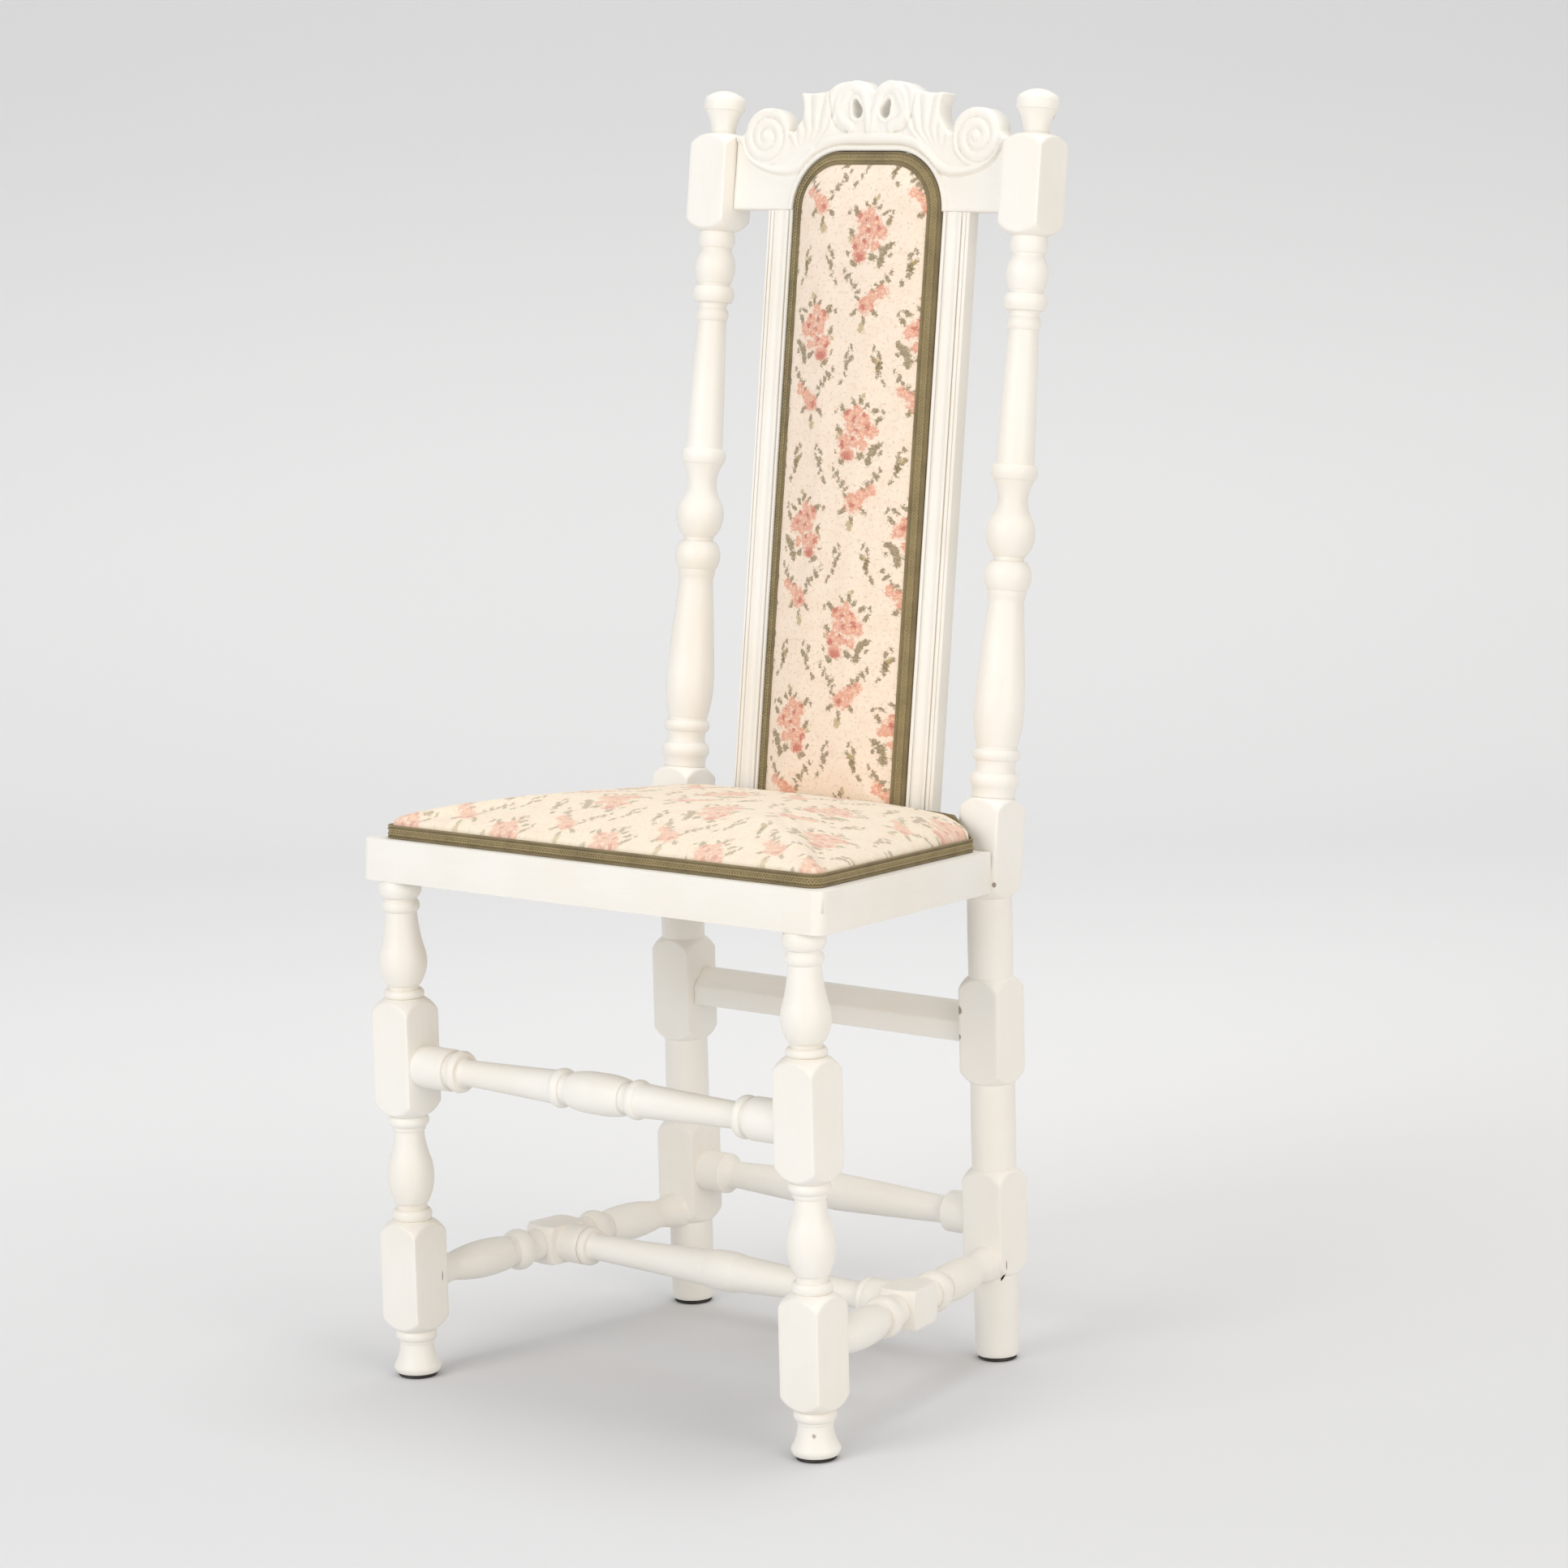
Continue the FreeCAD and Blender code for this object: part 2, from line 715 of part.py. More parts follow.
def outlined(start, rows, y_from, y_to):
    # Closed outline through the rows of shares, extruded through the thickness.
    edges = []
    first = crest_point(*start)
    here = first
    for x_share, z_share, middle_x_share, middle_z_share in rows:
        there = crest_point(x_share, z_share)
        if middle_x_share is None:
            edges.append(Part.LineSegment(here, there).toShape())
        else:
            middle = crest_point(middle_x_share, middle_z_share)
            edges.append(Part.Arc(here, middle, there).toShape())
        here = there
    edges.append(Part.LineSegment(here, first).toShape())
    face = Part.Face(Part.Wire(edges))
    return moved(face, 0, y_from, 0).extrude(Vector(0, y_to - y_from, 0))


def crest_half(y_from, y_to):
    return outlined((0, 0), ((1, 0, None, None),) + crest_outline_shares, y_from, y_to)


def pierced_hole():
    center = crest_point(*pierced_center_shares)
    tip = crest_point(*pierced_tip_shares)
    left = center - across * pierced_radius
    right = center + across * pierced_radius
    under = center - upright * pierced_radius
    edges = [Part.Arc(left, under, right).toShape(), Part.LineSegment(right, tip).toShape(),
             Part.LineSegment(tip, left).toShape()]
    face = Part.Face(Part.Wire(edges))
    depth = 2 * overrun + crest_board + crest_relief
    return moved(face, 0, crest_front - overrun, 0).extrude(Vector(0, depth, 0))


def crest_rail():
    board = crest_half(board_front, crest_back)
    front_layer = crest_half(crest_front, board_front)
    relief = front_layer.common(outlined((0, 0), relief_border_shares, crest_front, board_front))
    border = front_layer.common(arch_prism(-crest_border_width, crest_front, board_front))
    half = board.fuse(relief).fuse(border).removeSplitter()
    half = half.cut(pierced_hole())
    crest = half.fuse(mirrored(half)).removeSplitter()
    crest = crest.cut(arch_prism(rebate_width, crest_front - overrun, crest_back + overrun))
    crest = crest.cut(arch_prism(-fit_gap, crest_front - overrun, rebate_floor))
    crest = crest.cut(arch_prism(-fit_gap, lining_front, crest_back + overrun))
    crest = raked(crest)
    tenon = crest_tenon(0)
    crest = crest.fuse(tenon).fuse(mirrored(tenon)).removeSplitter()
    mortise = stile_top_tenon(fit_gap)
    return crest.cut(mortise).cut(mirrored(mortise))


def crest_tenon(clearance):
    base = crest_foot + crest_tenon_base - clearance
    half = crest_tenon_thickness / 2 + clearance
    tongue = box(post_inner_face, post_inner_face + crest_tenon_length + clearance, -half, half,
                 base, base + crest_tenon_height + 2 * clearance)
    return raked(tongue)


# Back panel, in the frame of the raked posts
stile_front = board_front
stile_back = stile_front + stile_thickness
stile_inner = panel_half_width - rebate_width
stile_outer = panel_half_width + stile_face_width
stile_middle = (stile_inner + stile_outer) / 2
rebate_floor = stile_front + rebate_depth
canvas_front = rebate_floor - canvas_thickness
lining_front = crest_back - lining_thickness
panel_base = up_the_rake(frame_rear_top + panel_foot_rise)


def arch_wire(inset, y):
    half = panel_half_width - inset
    radius = arch_height - inset
    foot = panel_base + inset
    bend = radius * math.sqrt(0.5)
    left_low, left_top = Vector(-half, y, foot), Vector(-half, y, crest_foot)
    shoulder = radius - bend
    left_bend = Vector(-half + shoulder, y, crest_foot + bend)
    top_left = Vector(-half + radius, y, crest_foot + radius)
    top_right = Vector(half - radius, y, top_left.z)
    right_bend = Vector(half - shoulder, y, left_bend.z)
    right_top, right_low = Vector(half, y, crest_foot), Vector(half, y, foot)
    return Part.Wire([
        Part.LineSegment(left_low, left_top).toShape(),
        Part.Arc(left_top, left_bend, top_left).toShape(),
        Part.LineSegment(top_left, top_right).toShape(),
        Part.Arc(top_right, right_bend, right_top).toShape(),
        Part.LineSegment(right_top, right_low).toShape(),
        Part.LineSegment(right_low, left_low).toShape(),
    ])


def arch_prism(inset, y_from, y_to):
    return Part.Face(arch_wire(inset, y_from)).extrude(Vector(0, y_to - y_from, 0))


def panel_stile():
    # The moulded face runs from the rebate to the outer edge: a bead, a quirk, a flat, a quirk and a bead.
    bead = stile_bead_radius
    inner_bead = Vector(panel_half_width + bead, stile_front, 0)
    outer_bead = Vector(stile_outer - bead, stile_front, 0)
    length = crest_foot
    bar = box(stile_inner, stile_outer, stile_front, stile_back, 0, length)
    bar = bar.cut(box(0, panel_half_width + fit_gap, stile_front, rebate_floor, 0, length))
    quirk_width = stile_quirk_depth
    quirk_starts = (inner_bead.x + bead, stile_middle + bead, stile_middle + 3 * bead,
                    outer_bead.x - bead - quirk_width)
    for x in quirk_starts:
        bar = bar.cut(box(x, x + quirk_width, stile_front, stile_front + stile_quirk_depth, 0, length))
    rounds = [edge for edge in bar.Edges if is_upright(edge) and is_front_corner(edge, outer_bead.x)]
    bar = raked(bar.makeFillet(bead, rounds))
    reach = frame_half_front + overrun
    under = tilted(box(-reach, reach, front_leg_y, rear_post_y + stock, 0, frame_top))
    bar = bar.cut(under)
    return bar.fuse(stile_tenon(0)).fuse(stile_top_tenon(0)).removeSplitter()


def is_front_corner(edge, from_x):
    middle = edge.CenterOfMass
    return math.isclose(middle.y, stile_front, abs_tol=fit_gap / 2) and middle.x > from_x + fit_gap


def stile_tongue(z_from, z_to, clearance):
    half_width = stile_tenon_width / 2 + clearance
    center = (stile_front + stile_back) / 2
    half_depth = stile_tenon_thickness / 2 + clearance
    return raked(box(stile_middle - half_width, stile_middle + half_width, center - half_depth,
                     center + half_depth, z_from, z_to))


def stile_tenon(clearance):
    start = up_the_rake(frame_rear_top) - stile_tenon_length - clearance
    return stile_tongue(start, start + stile_tenon_length + overrun, clearance)


def stile_top_tenon(clearance):
    return stile_tongue(crest_foot - overrun, crest_foot + stile_tenon_length + clearance, clearance)


def back_canvas():
    inset = fit_gap
    return raked(arch_prism(inset, canvas_front, rebate_floor))


def back_lining():
    sheet = arch_prism(0, lining_front, crest_back)
    return raked(sheet)


# The gimp goes up the edge of the back pad and lies on the slope above it. A row is how far it is drawn in,
# as a share of that slope's reach, and its height, as a share of the edge's height.
back_edge_shares = (
    (0.00, 0.00), (0.00, 0.34), (1.00, 1.00),
)
# Inside the slope a row is a share of the half width left there, and a share of the crown
back_crown_shares = (
    (0.09, 0.42), (0.25, 0.78), (0.48, 1.00),
)


def arched_loft(rows, inset):
    return Part.makeLoft([arch_wire(inset + drawn_in, canvas_front - height) for drawn_in, height in rows],
                         True, True)


def back_edge_rows():
    return [(reach_share * back_gimp_reach, height_share * back_edge_height)
            for reach_share, height_share in back_edge_shares]


def back_gimp():
    rows = back_edge_rows()
    return raked(arched_loft(rows, 0).cut(arched_loft(rows, gimp_thickness)))


def back_pad():
    half_width = panel_half_width - back_gimp_reach
    crown = [(back_gimp_reach + width_share * half_width, back_edge_height + height_share * back_crown)
             for width_share, height_share in back_crown_shares]
    return raked(arched_loft(back_edge_rows() + crown, gimp_thickness + fit_gap))


# Seat upholstery, on the level frame
def seat_points(inset):
    # The rear corners are cut back past the posts, by this pitch from the posts' inner corners outwards.
    front = frame_front + seat_edge_inset + inset
    rear = post_front_face + seat_rear_reach - inset
    total_inset = seat_edge_inset + inset
    cut_y = post_front_face - seat_post_clearance - inset * math.hypot(1, seat_corner_pitch)
    beyond = frame_edge(cut_y, total_inset) - post_inner_face
    side_y = cut_y - seat_corner_pitch * beyond / (1 - frame_slope * seat_corner_pitch)
    half = [(frame_edge(front, total_inset), front), (frame_edge(side_y, total_inset), side_y),
            (post_inner_face - (rear - cut_y) / seat_corner_pitch, rear)]
    return half + [(-x, y) for x, y in reversed(half)]


def seat_prism(inset, z_from, z_to):
    return prism(seat_points(inset), z_from, z_to)


def seat_webbing():
    front = frame_front + web_end_inset
    rear = post_front_face + web_rear_reach
    straps = []
    for row in range(web_rows):
        place = (row + 1) / (web_rows + 1)
        x = -frame_half_rear + 2 * frame_half_rear * place
        straps.append(box(x - web_width / 2, x + web_width / 2, front, rear,
                          frame_top, frame_top + web_thickness))
        y = front + (rear - front) * place
        reach = frame_edge(y, web_end_inset)
        straps.append(box(-reach, reach, y - web_width / 2, y + web_width / 2,
                          frame_top + web_thickness, frame_top + 2 * web_thickness))
    return [tilted(strap) for strap in straps]


hessian_base = frame_top + 2 * web_thickness
seat_base = hessian_base + hessian_thickness


def seat_hessian():
    return tilted(seat_prism(hessian_inset, hessian_base, seat_base))


def seat_gimp():
    top = frame_top + seat_edge_height
    ring = seat_prism(0, frame_top, top).cut(seat_prism(gimp_thickness, frame_top, top))
    return tilted(ring)


# Rows of the seat pad from its base to its flat top: how much it is drawn in, and its height as a share of
# the edge's height and, past the edge, of the crown
seat_side_shares = (
    (0.010, 0.00), (0.000, 0.60), (0.000, 1.00),
)
seat_crown_shares = (
    (0.060, 0.35), (0.170, 0.65), (0.330, 0.88), (0.520, 1.00),
)


def seat_pad():
    # Its rows shrink about the middle of the seat, so that the short edges by the posts last up to the top.
    corners = seat_points(gimp_thickness + fit_gap)
    middle_y = (frame_front + post_front_face) / 2
    edge_height = frame_top + seat_edge_height - seat_base
    sides = [(drawn_share, height_share * edge_height) for drawn_share, height_share in seat_side_shares]
    crown = [(drawn_share, edge_height + height_share * seat_crown)
             for drawn_share, height_share in seat_crown_shares]
    rows = []
    for drawn_share, rise in sides + crown:
        scale = 1 - drawn_share
        height = seat_base + rise
        rows.append([Vector(x * scale, middle_y + (y - middle_y) * scale, height) for x, y in corners])
    return tilted(skinned(rows))


# Foot glides, below the turned feet
glide_shares = (
    (1.00, 1.00, None, 1.00),
)


def glide(x, y):
    return moved(turned(0, [(glide_thickness, glide_diameter / 2, glide_shares)]), x, y, 0)


def save_pair(name, right):
    save(name + "_right", right)
    save(name + "_left", mirrored(right))


save_pair("front_leg", front_leg())
save_pair("rear_post", rear_post())
save("front_seat_rail", front_rail())
save_pair("side_seat_rail", side_rail())
save("rear_seat_rail", rear_rail())
save_pair("corner_block", corner_block())
save("front_stretcher", laid_stretcher(front_stretcher_end, stretcher_diameter, long_stretcher_shares))
save_pair("side_stretcher", side_stretcher())
save("cross_stretcher", cross_stretcher())
save("back_lower_stretcher", laid_stretcher(back_stretcher_end, stretcher_diameter, plain_stretcher_shares))
save("back_upper_rail", back_rail())
save("crest_rail", crest_rail())
save_pair("panel_stile", panel_stile())
save("back_canvas", back_canvas())
save("back_pad", back_pad())
save("back_gimp", back_gimp())
save("back_lining", back_lining())
save("seat_webbing", *seat_webbing())
save("seat_hessian", seat_hessian())
save("seat_pad", seat_pad())
save("seat_gimp", seat_gimp())
save("front_foot_glides", glide(front_leg_x, front_leg_y), glide(-front_leg_x, front_leg_y))
save("rear_foot_glides", glide(rear_post_x, rear_post_y), glide(-rear_post_x, rear_post_y))
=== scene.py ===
import math

import bmesh
import bpy
import numpy as np
from mathutils import Matrix, Vector, geometry


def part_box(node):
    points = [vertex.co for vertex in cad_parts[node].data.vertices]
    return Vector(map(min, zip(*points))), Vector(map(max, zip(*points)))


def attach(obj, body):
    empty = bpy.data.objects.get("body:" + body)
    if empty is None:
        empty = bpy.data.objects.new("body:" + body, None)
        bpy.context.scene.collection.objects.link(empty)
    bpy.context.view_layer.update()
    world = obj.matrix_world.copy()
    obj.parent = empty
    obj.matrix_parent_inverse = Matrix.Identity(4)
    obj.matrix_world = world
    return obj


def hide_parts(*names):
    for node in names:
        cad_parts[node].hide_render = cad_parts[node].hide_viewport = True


# A high-backed side chair: turned legs and posts, a carved and pierced crest, an upholstered seat and back panel.
# Sizes below are in millimetres on the frame's own axes; meshes are made in metres.
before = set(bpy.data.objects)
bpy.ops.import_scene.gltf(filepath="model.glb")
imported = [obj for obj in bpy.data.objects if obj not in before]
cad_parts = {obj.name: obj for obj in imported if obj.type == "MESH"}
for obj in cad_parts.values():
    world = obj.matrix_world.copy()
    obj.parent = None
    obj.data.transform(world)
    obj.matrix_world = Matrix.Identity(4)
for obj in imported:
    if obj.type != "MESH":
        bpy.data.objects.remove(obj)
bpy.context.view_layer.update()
mm = 0.001

chair = {
    "stock": 43.0,             # square the legs and posts are turned from
    "seatBase": 455.0,         # underside of the seat frame at the front legs
    "railHeight": 37.0,
    "seatTilt": 4.0,
    "rakeStart": 450.0,
    "rakeAngle": 8.0,
    "bend": 0.02,              # length over which a post changes its direction
    "glideDiameter": 35.0,
    "glideThickness": 4.0,
}


bothSides = (("right", 1), ("left", -1))


def boxOf(node):
    low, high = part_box(node)
    return np.array(low) / mm, np.array(high) / mm


frontLow, frontHigh = boxOf("front_foot_glides")
rearLow, rearHigh = boxOf("rear_foot_glides")
legX = frontHigh[0] - chair["glideDiameter"] / 2
legY = (frontLow[1] + frontHigh[1]) / 2
postX = rearHigh[0] - chair["glideDiameter"] / 2
postY = (rearLow[1] + rearHigh[1]) / 2
half = chair["stock"] / 2
postInner = postX - half
postFront = postY - half
frameTop = chair["seatBase"] + chair["railHeight"]
rakeCos = math.cos(math.radians(chair["rakeAngle"]))
rakeSin = math.sin(math.radians(chair["rakeAngle"]))
tiltCos = math.cos(math.radians(chair["seatTilt"]))
tiltSin = math.sin(math.radians(chair["seatTilt"]))


def upRake(height):
    return (height - chair["rakeStart"]) / rakeCos


def raked(points):
    # From the leaning frame of the back, whose origin is where the posts bend
    p = np.asarray(points, float).reshape(-1, 3)
    y = postY + p[:, 1] * rakeCos + p[:, 2] * rakeSin
    z = chair["rakeStart"] - p[:, 1] * rakeSin + p[:, 2] * rakeCos
    return np.column_stack((p[:, 0], y, z))


def tilted(points):
    # From the level seat frame to the one that slopes down to the back
    p = np.asarray(points, float).reshape(-1, 3)
    y = p[:, 1] - legY
    z = p[:, 2] - chair["seatBase"]
    return np.column_stack((p[:, 0], legY + y * tiltCos + z * tiltSin,
                            chair["seatBase"] - y * tiltSin + z * tiltCos))


def fromBack(p):
    # x, depth and height up the rake, the reverse of raked
    y, z = p[:, 1] - postY, p[:, 2] - chair["rakeStart"]
    return p[:, 0], y * rakeCos - z * rakeSin, y * rakeSin + z * rakeCos


def fromSeat(p):
    # x, y and height on the level seat frame, the reverse of tilted
    y, z = p[:, 1] - legY, p[:, 2] - chair["seatBase"]
    return p[:, 0], legY + y * tiltCos - z * tiltSin, chair["seatBase"] + y * tiltSin + z * tiltCos


class Wire:
    # A material's socket that can be used in sums
    def __init__(self, tree, socket):
        self.tree = tree
        self.socket = socket

    def maths(self, operation, *values):
        node = self.tree.nodes.new("ShaderNodeMath")
        node.operation = operation
        for slot, value in zip(node.inputs, values):
            plug(self.tree, slot, value)
        return Wire(self.tree, node.outputs[0])

    def __add__(self, other):
        return self.maths("ADD", self, other)

    __radd__ = __add__

    def __sub__(self, other):
        return self.maths("SUBTRACT", self, other)

    def __rsub__(self, other):
        return self.maths("SUBTRACT", other, self)

    def __mul__(self, other):
        return self.maths("MULTIPLY", self, other)

    __rmul__ = __mul__

    def __truediv__(self, other):
        return self.maths("DIVIDE", self, other)

    def __rtruediv__(self, other):
        return self.maths("DIVIDE", other, self)


def plug(tree, slot, value):
    if isinstance(value, Wire):
        tree.links.new(value.socket, slot)
    elif slot.type == "RGBA" and len(value) == 3:
        slot.default_value = (*value, 1.0)
    else:
        slot.default_value = value


class Finish:
    # A material written out as node calls
    def __init__(self, name):
        self.material = bpy.data.materials.new(name)
        self.material.use_nodes = True
        self.tree = self.material.node_tree
        self.tree.nodes.clear()

    def node(self, kind, settings=None, sockets=None, output=0):
        node = self.tree.nodes.new(kind)
        for key, value in (settings or {}).items():
            setattr(node, key, value)
        for key, value in (sockets or {}).items():
            plug(self.tree, node.inputs[key], value)
        return Wire(self.tree, node.outputs[output])

    def split(self, vector):
        # The three parts of a vector
        node = self.tree.nodes.new("ShaderNodeSeparateXYZ")
        plug(self.tree, node.inputs[0], vector)
        return [Wire(self.tree, slot) for slot in node.outputs]

    def place(self):
        return self.node("ShaderNodeTexCoord", output="Object")

    def stretched(self, vector, scale, at=(0, 0, 0)):
        return self.node("ShaderNodeMapping", {"vector_type": "POINT"},
                         {"Vector": vector, "Location": at, "Scale": scale})

    def noise(self, vector, scale, detail=3.0, roughness=0.5):
        return self.node("ShaderNodeTexNoise", None,
                         {"Vector": vector, "Scale": scale, "Detail": detail, "Roughness": roughness}, "Fac")

    def ease(self, value, low, high):
        return self.node("ShaderNodeMapRange", {"interpolation_type": "SMOOTHSTEP"},
                         {"Value": value, "From Min": low, "From Max": high})

    def mix(self, share, first, second):
        return self.node("ShaderNodeMix", {"data_type": "RGBA"}, {0: share, 6: first, 7: second}, 2)

    def attribute(self, name):
        return self.node("ShaderNodeAttribute", {"attribute_name": name}, output="Fac")

    def bump(self, height, depth, strength):
        return self.node("ShaderNodeBump", None, {"Height": height, "Distance": depth, "Strength": strength})

    def finish(self, **sockets):
        shader = self.node("ShaderNodeBsdfPrincipled", None,
                           {key.replace("_", " "): value for key, value in sockets.items()})
        output = self.tree.nodes.new("ShaderNodeOutputMaterial")
        self.tree.links.new(shader.socket, output.inputs["Surface"])
        return self.material


def rgb(red, green, blue):
    # A colour as it looks on screen, made linear
    return tuple(c / 12.92 if c <= 0.04045 else ((c + 0.055) / 1.055) ** 2.4 for c in (red, green, blue))


def quads(rows, count, around=True, along=False):
    # Faces between rows of points: around joins the ends of each row, along joins the last row to the first
    return [(r * count + k, r * count + (k + 1) % count, (r + 1) % rows * count + (k + 1) % count,
             (r + 1) % rows * count + k)
            for r in range(rows - (not along)) for k in range(count - (not around))]


def linked(name, data):
    piece = bpy.data.objects.new(name, data)
    bpy.context.scene.collection.objects.link(piece)
    return piece


def addPiece(name, points, faces, material, sharpAngle=40.0, close=True):
    mesh = bpy.data.meshes.new(name)
    mesh.from_pydata((np.asarray(points) * mm).tolist(), [], [list(map(int, f)) for f in faces])
    mesh.validate()
    work = bmesh.new()
    work.from_mesh(mesh)
    bmesh.ops.remove_doubles(work, verts=work.verts, dist=0.00001)
    if close:
        bmesh.ops.recalc_face_normals(work, faces=work.faces)
    work.to_mesh(mesh)
    work.free()
    mesh.materials.append(material)
    mesh.shade_smooth()
    mesh.set_sharp_from_angle(angle=math.radians(sharpAngle))
    return linked(name, mesh)


def readOut(items, field, size, kind=float):
    # One field of all points, edges or corners as an array with a row for each
    values = np.empty(len(items) * size, dtype=kind)
    items.foreach_get(field, values)
    return values.reshape(-1, size)


def meshOf(piece):
    # A new mesh with what the object's modifiers make of it
    graph = bpy.context.evaluated_depsgraph_get()
    graph.update()
    return bpy.data.meshes.new_from_object(piece.evaluated_get(graph))


def withModifiers(piece):
    # The same object with its modifiers made part of its mesh
    mesh = meshOf(piece)
    old = piece.data
    piece.modifiers.clear()
    piece.data = mesh
    mesh.name = old.name
    return piece


shadeAndWearGains = {"hollow": 3.0, "edge": -2.2}


def markShadeAndWear(piece, spread=2):
    # Writes how hollow or how sharp the surface is round each point, for grime and painted shade in the hollows and
    # worn edges in the paint
    mesh = piece.data
    points = readOut(mesh.vertices, "co", 3)
    normals = readOut(mesh.vertices, "normal", 3)
    a, b = readOut(mesh.edges, "vertices", 2, np.int64).T
    run = points[b] - points[a]
    length = np.linalg.norm(run, axis=1) + 1e-9
    bend = np.zeros(len(points))
    number = np.zeros(len(points))
    np.add.at(bend, a, (normals[a] * run).sum(1) / length)
    np.add.at(bend, b, -(normals[b] * run).sum(1) / length)
    np.add.at(number, a, 1)
    np.add.at(number, b, 1)
    bend /= np.maximum(number, 1)
    for _ in range(spread):
        total = bend.copy()
        np.add.at(total, a, bend[b])
        np.add.at(total, b, bend[a])
        bend = total / (number + 1)
    for name, gain in shadeAndWearGains.items():
        layer = mesh.attributes.new(name, "FLOAT", "POINT")
        layer.data.foreach_set("value", np.clip(bend * gain, 0, 1).astype(np.float32))
    return piece


def dressed(piece, node):
    # Every piece of this chair rides on its one body
    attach(piece, "root")
    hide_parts(node)
    return piece


paintValues = {
    "colour": rgb(0.972, 0.962, 0.938),
    "warm": rgb(0.945, 0.918, 0.868),
    # brown of grime, also used as painted shade in the hollows
    "dirtAndShade": rgb(0.74, 0.66, 0.53),
    "woodBelow": rgb(0.52, 0.42, 0.34),
    "brushScale": 260.0,
    "cloudScale": 9.0,
    "spotScale": 90.0,
    "grainScale": 700.0,
    "relief": 0.0003,          # in metres, as in every finish below
    "roughness": 0.42,
    "knocks": (                # x, y, z and size of each small knock
        (157, 99, 323, 4.5), (157, 99, 299, 3.0), (199, 99, 441, 2.5), (199, 99, 261, 2.5), (238, -228, 24, 3.0),
        (189, 221, 1111, 4.0),
    ),
}


def paintedWood(name, grain=(1.0, 1.0, 0.12)):
    # Brushed off-white paint: strokes along the piece, grime and painted shade in the hollows and a few small
    # knocks
    v = paintValues
    f = Finish(name)
    place = f.place()
    along = f.stretched(place, grain)
    strokes = f.noise(along, v["brushScale"], 4.0, 0.6)
    clouds = f.noise(place, v["cloudScale"], 3.0)
    spots = f.noise(place, v["spotScale"], 5.0, 0.7)
    hollow = f.attribute("hollow")
    edge = f.attribute("edge")
    # painted shade and grime: the paint is darker and browner in the hollows
    hollowGrimeAndShade = f.ease(hollow * (0.6 + clouds * 0.9), 0.12, 0.80)
    worn = f.ease(edge * 0.30 + spots, 0.97, 1.01)
    for x, y, z, size in v["knocks"]:
        gap = f.node("ShaderNodeVectorMath", {"operation": "DISTANCE"}, {0: place, 1: (x * mm, y * mm, z * mm)},
                     "Value")
        worn = worn.maths("MAXIMUM", worn, f.ease(gap / (size * mm) + spots * 1.4, 1.80, 1.30) * 0.8)
    warmth = f.ease(clouds + strokes * 0.25, 0.45, 0.85) * 0.5 + f.ease(edge, 0.2, 0.9) * 0.15
    colour = f.mix(warmth, v["colour"], v["warm"])
    colour = f.mix(hollowGrimeAndShade * 0.50, colour, v["dirtAndShade"])
    colour = f.mix(f.ease(spots * (0.7 + edge * 0.3), 0.60, 0.72) * 0.06, colour, v["dirtAndShade"])
    colour = f.mix(worn, colour, v["woodBelow"])
    height = strokes * 0.5 + f.noise(place, v["grainScale"], 2.0) * 0.25 - worn * 1.2
    return f.finish(Base_Color=colour, Roughness=v["roughness"] + worn * 0.3 + strokes * 0.10,
                    Normal=f.bump(height, v["relief"], 0.35))


woodValues = {
    "light": rgb(0.78, 0.64, 0.47),
    "dark": rgb(0.58, 0.43, 0.29),
    "ringScale": 55.0,
    "poreScale": 900.0,
    "cloudScale": 14.0,
    "relief": 0.0003,
    "roughness": 0.62,
}


def bareWood(name):
    v = woodValues
    f = Finish(name)
    place = f.place()
    bent = f.stretched(place, (0.12, 1.0, 1.0))
    rings = f.node("ShaderNodeTexWave", {"wave_type": "BANDS", "bands_direction": "Y"},
                   {"Vector": bent, "Scale": v["ringScale"], "Distortion": 5.0, "Detail": 3.0})
    pores = f.noise(f.stretched(place, (0.08, 1.0, 1.0)), v["poreScale"], 2.0)
    colour = f.mix(f.ease(rings, 0.2, 0.9) * 0.6 + f.ease(pores, 0.5, 0.75) * 0.4, v["light"], v["dark"])
    colour = f.mix(f.ease(f.noise(place, v["cloudScale"]), 0.45, 0.8) * 0.5, colour, v["dark"])
    return f.finish(Base_Color=colour, Roughness=v["roughness"],
                    Normal=f.bump(pores + rings * 0.3, v["relief"], 0.4))


clothValues = {
    "ground": rgb(0.972, 0.910, 0.840),
    "groundShade": rgb(0.945, 0.860, 0.780),
    "groundBlush": rgb(0.960, 0.845, 0.775),
    "rose": rgb(0.890, 0.610, 0.500),
    "rosePale": rgb(0.955, 0.765, 0.665),
    "roseDeep": rgb(0.740, 0.350, 0.310),
    "leaf": rgb(0.620, 0.560, 0.400),
    "leafDark": rgb(0.440, 0.370, 0.250),
    "leafGrey": rgb(0.690, 0.660, 0.540),
    "bud": rgb(0.700, 0.610, 0.390),
    "column": 57.5,            # from one column of posies to the next
    "repeat": 179.0,           # down a column
    "evenStart": 1000.0,       # an even number that keeps the columns' numbers above zero
    "thread": 0.55,            # weave
    "fray": 8.0,               # how uneven the outlines are
    "frayScale": 400.0,
    "drift": 5.0,              # how far a whole flower strays
    "driftScale": 55.0,
    "mottleScale": 520.0,
    "patchScale": 210.0,
    "petalScale": 230.0,
    "shadeScale": 60.0,
    "dotScale": 300.0,
    "slubScale": 300.0,
    "relief": 0.0002,
}

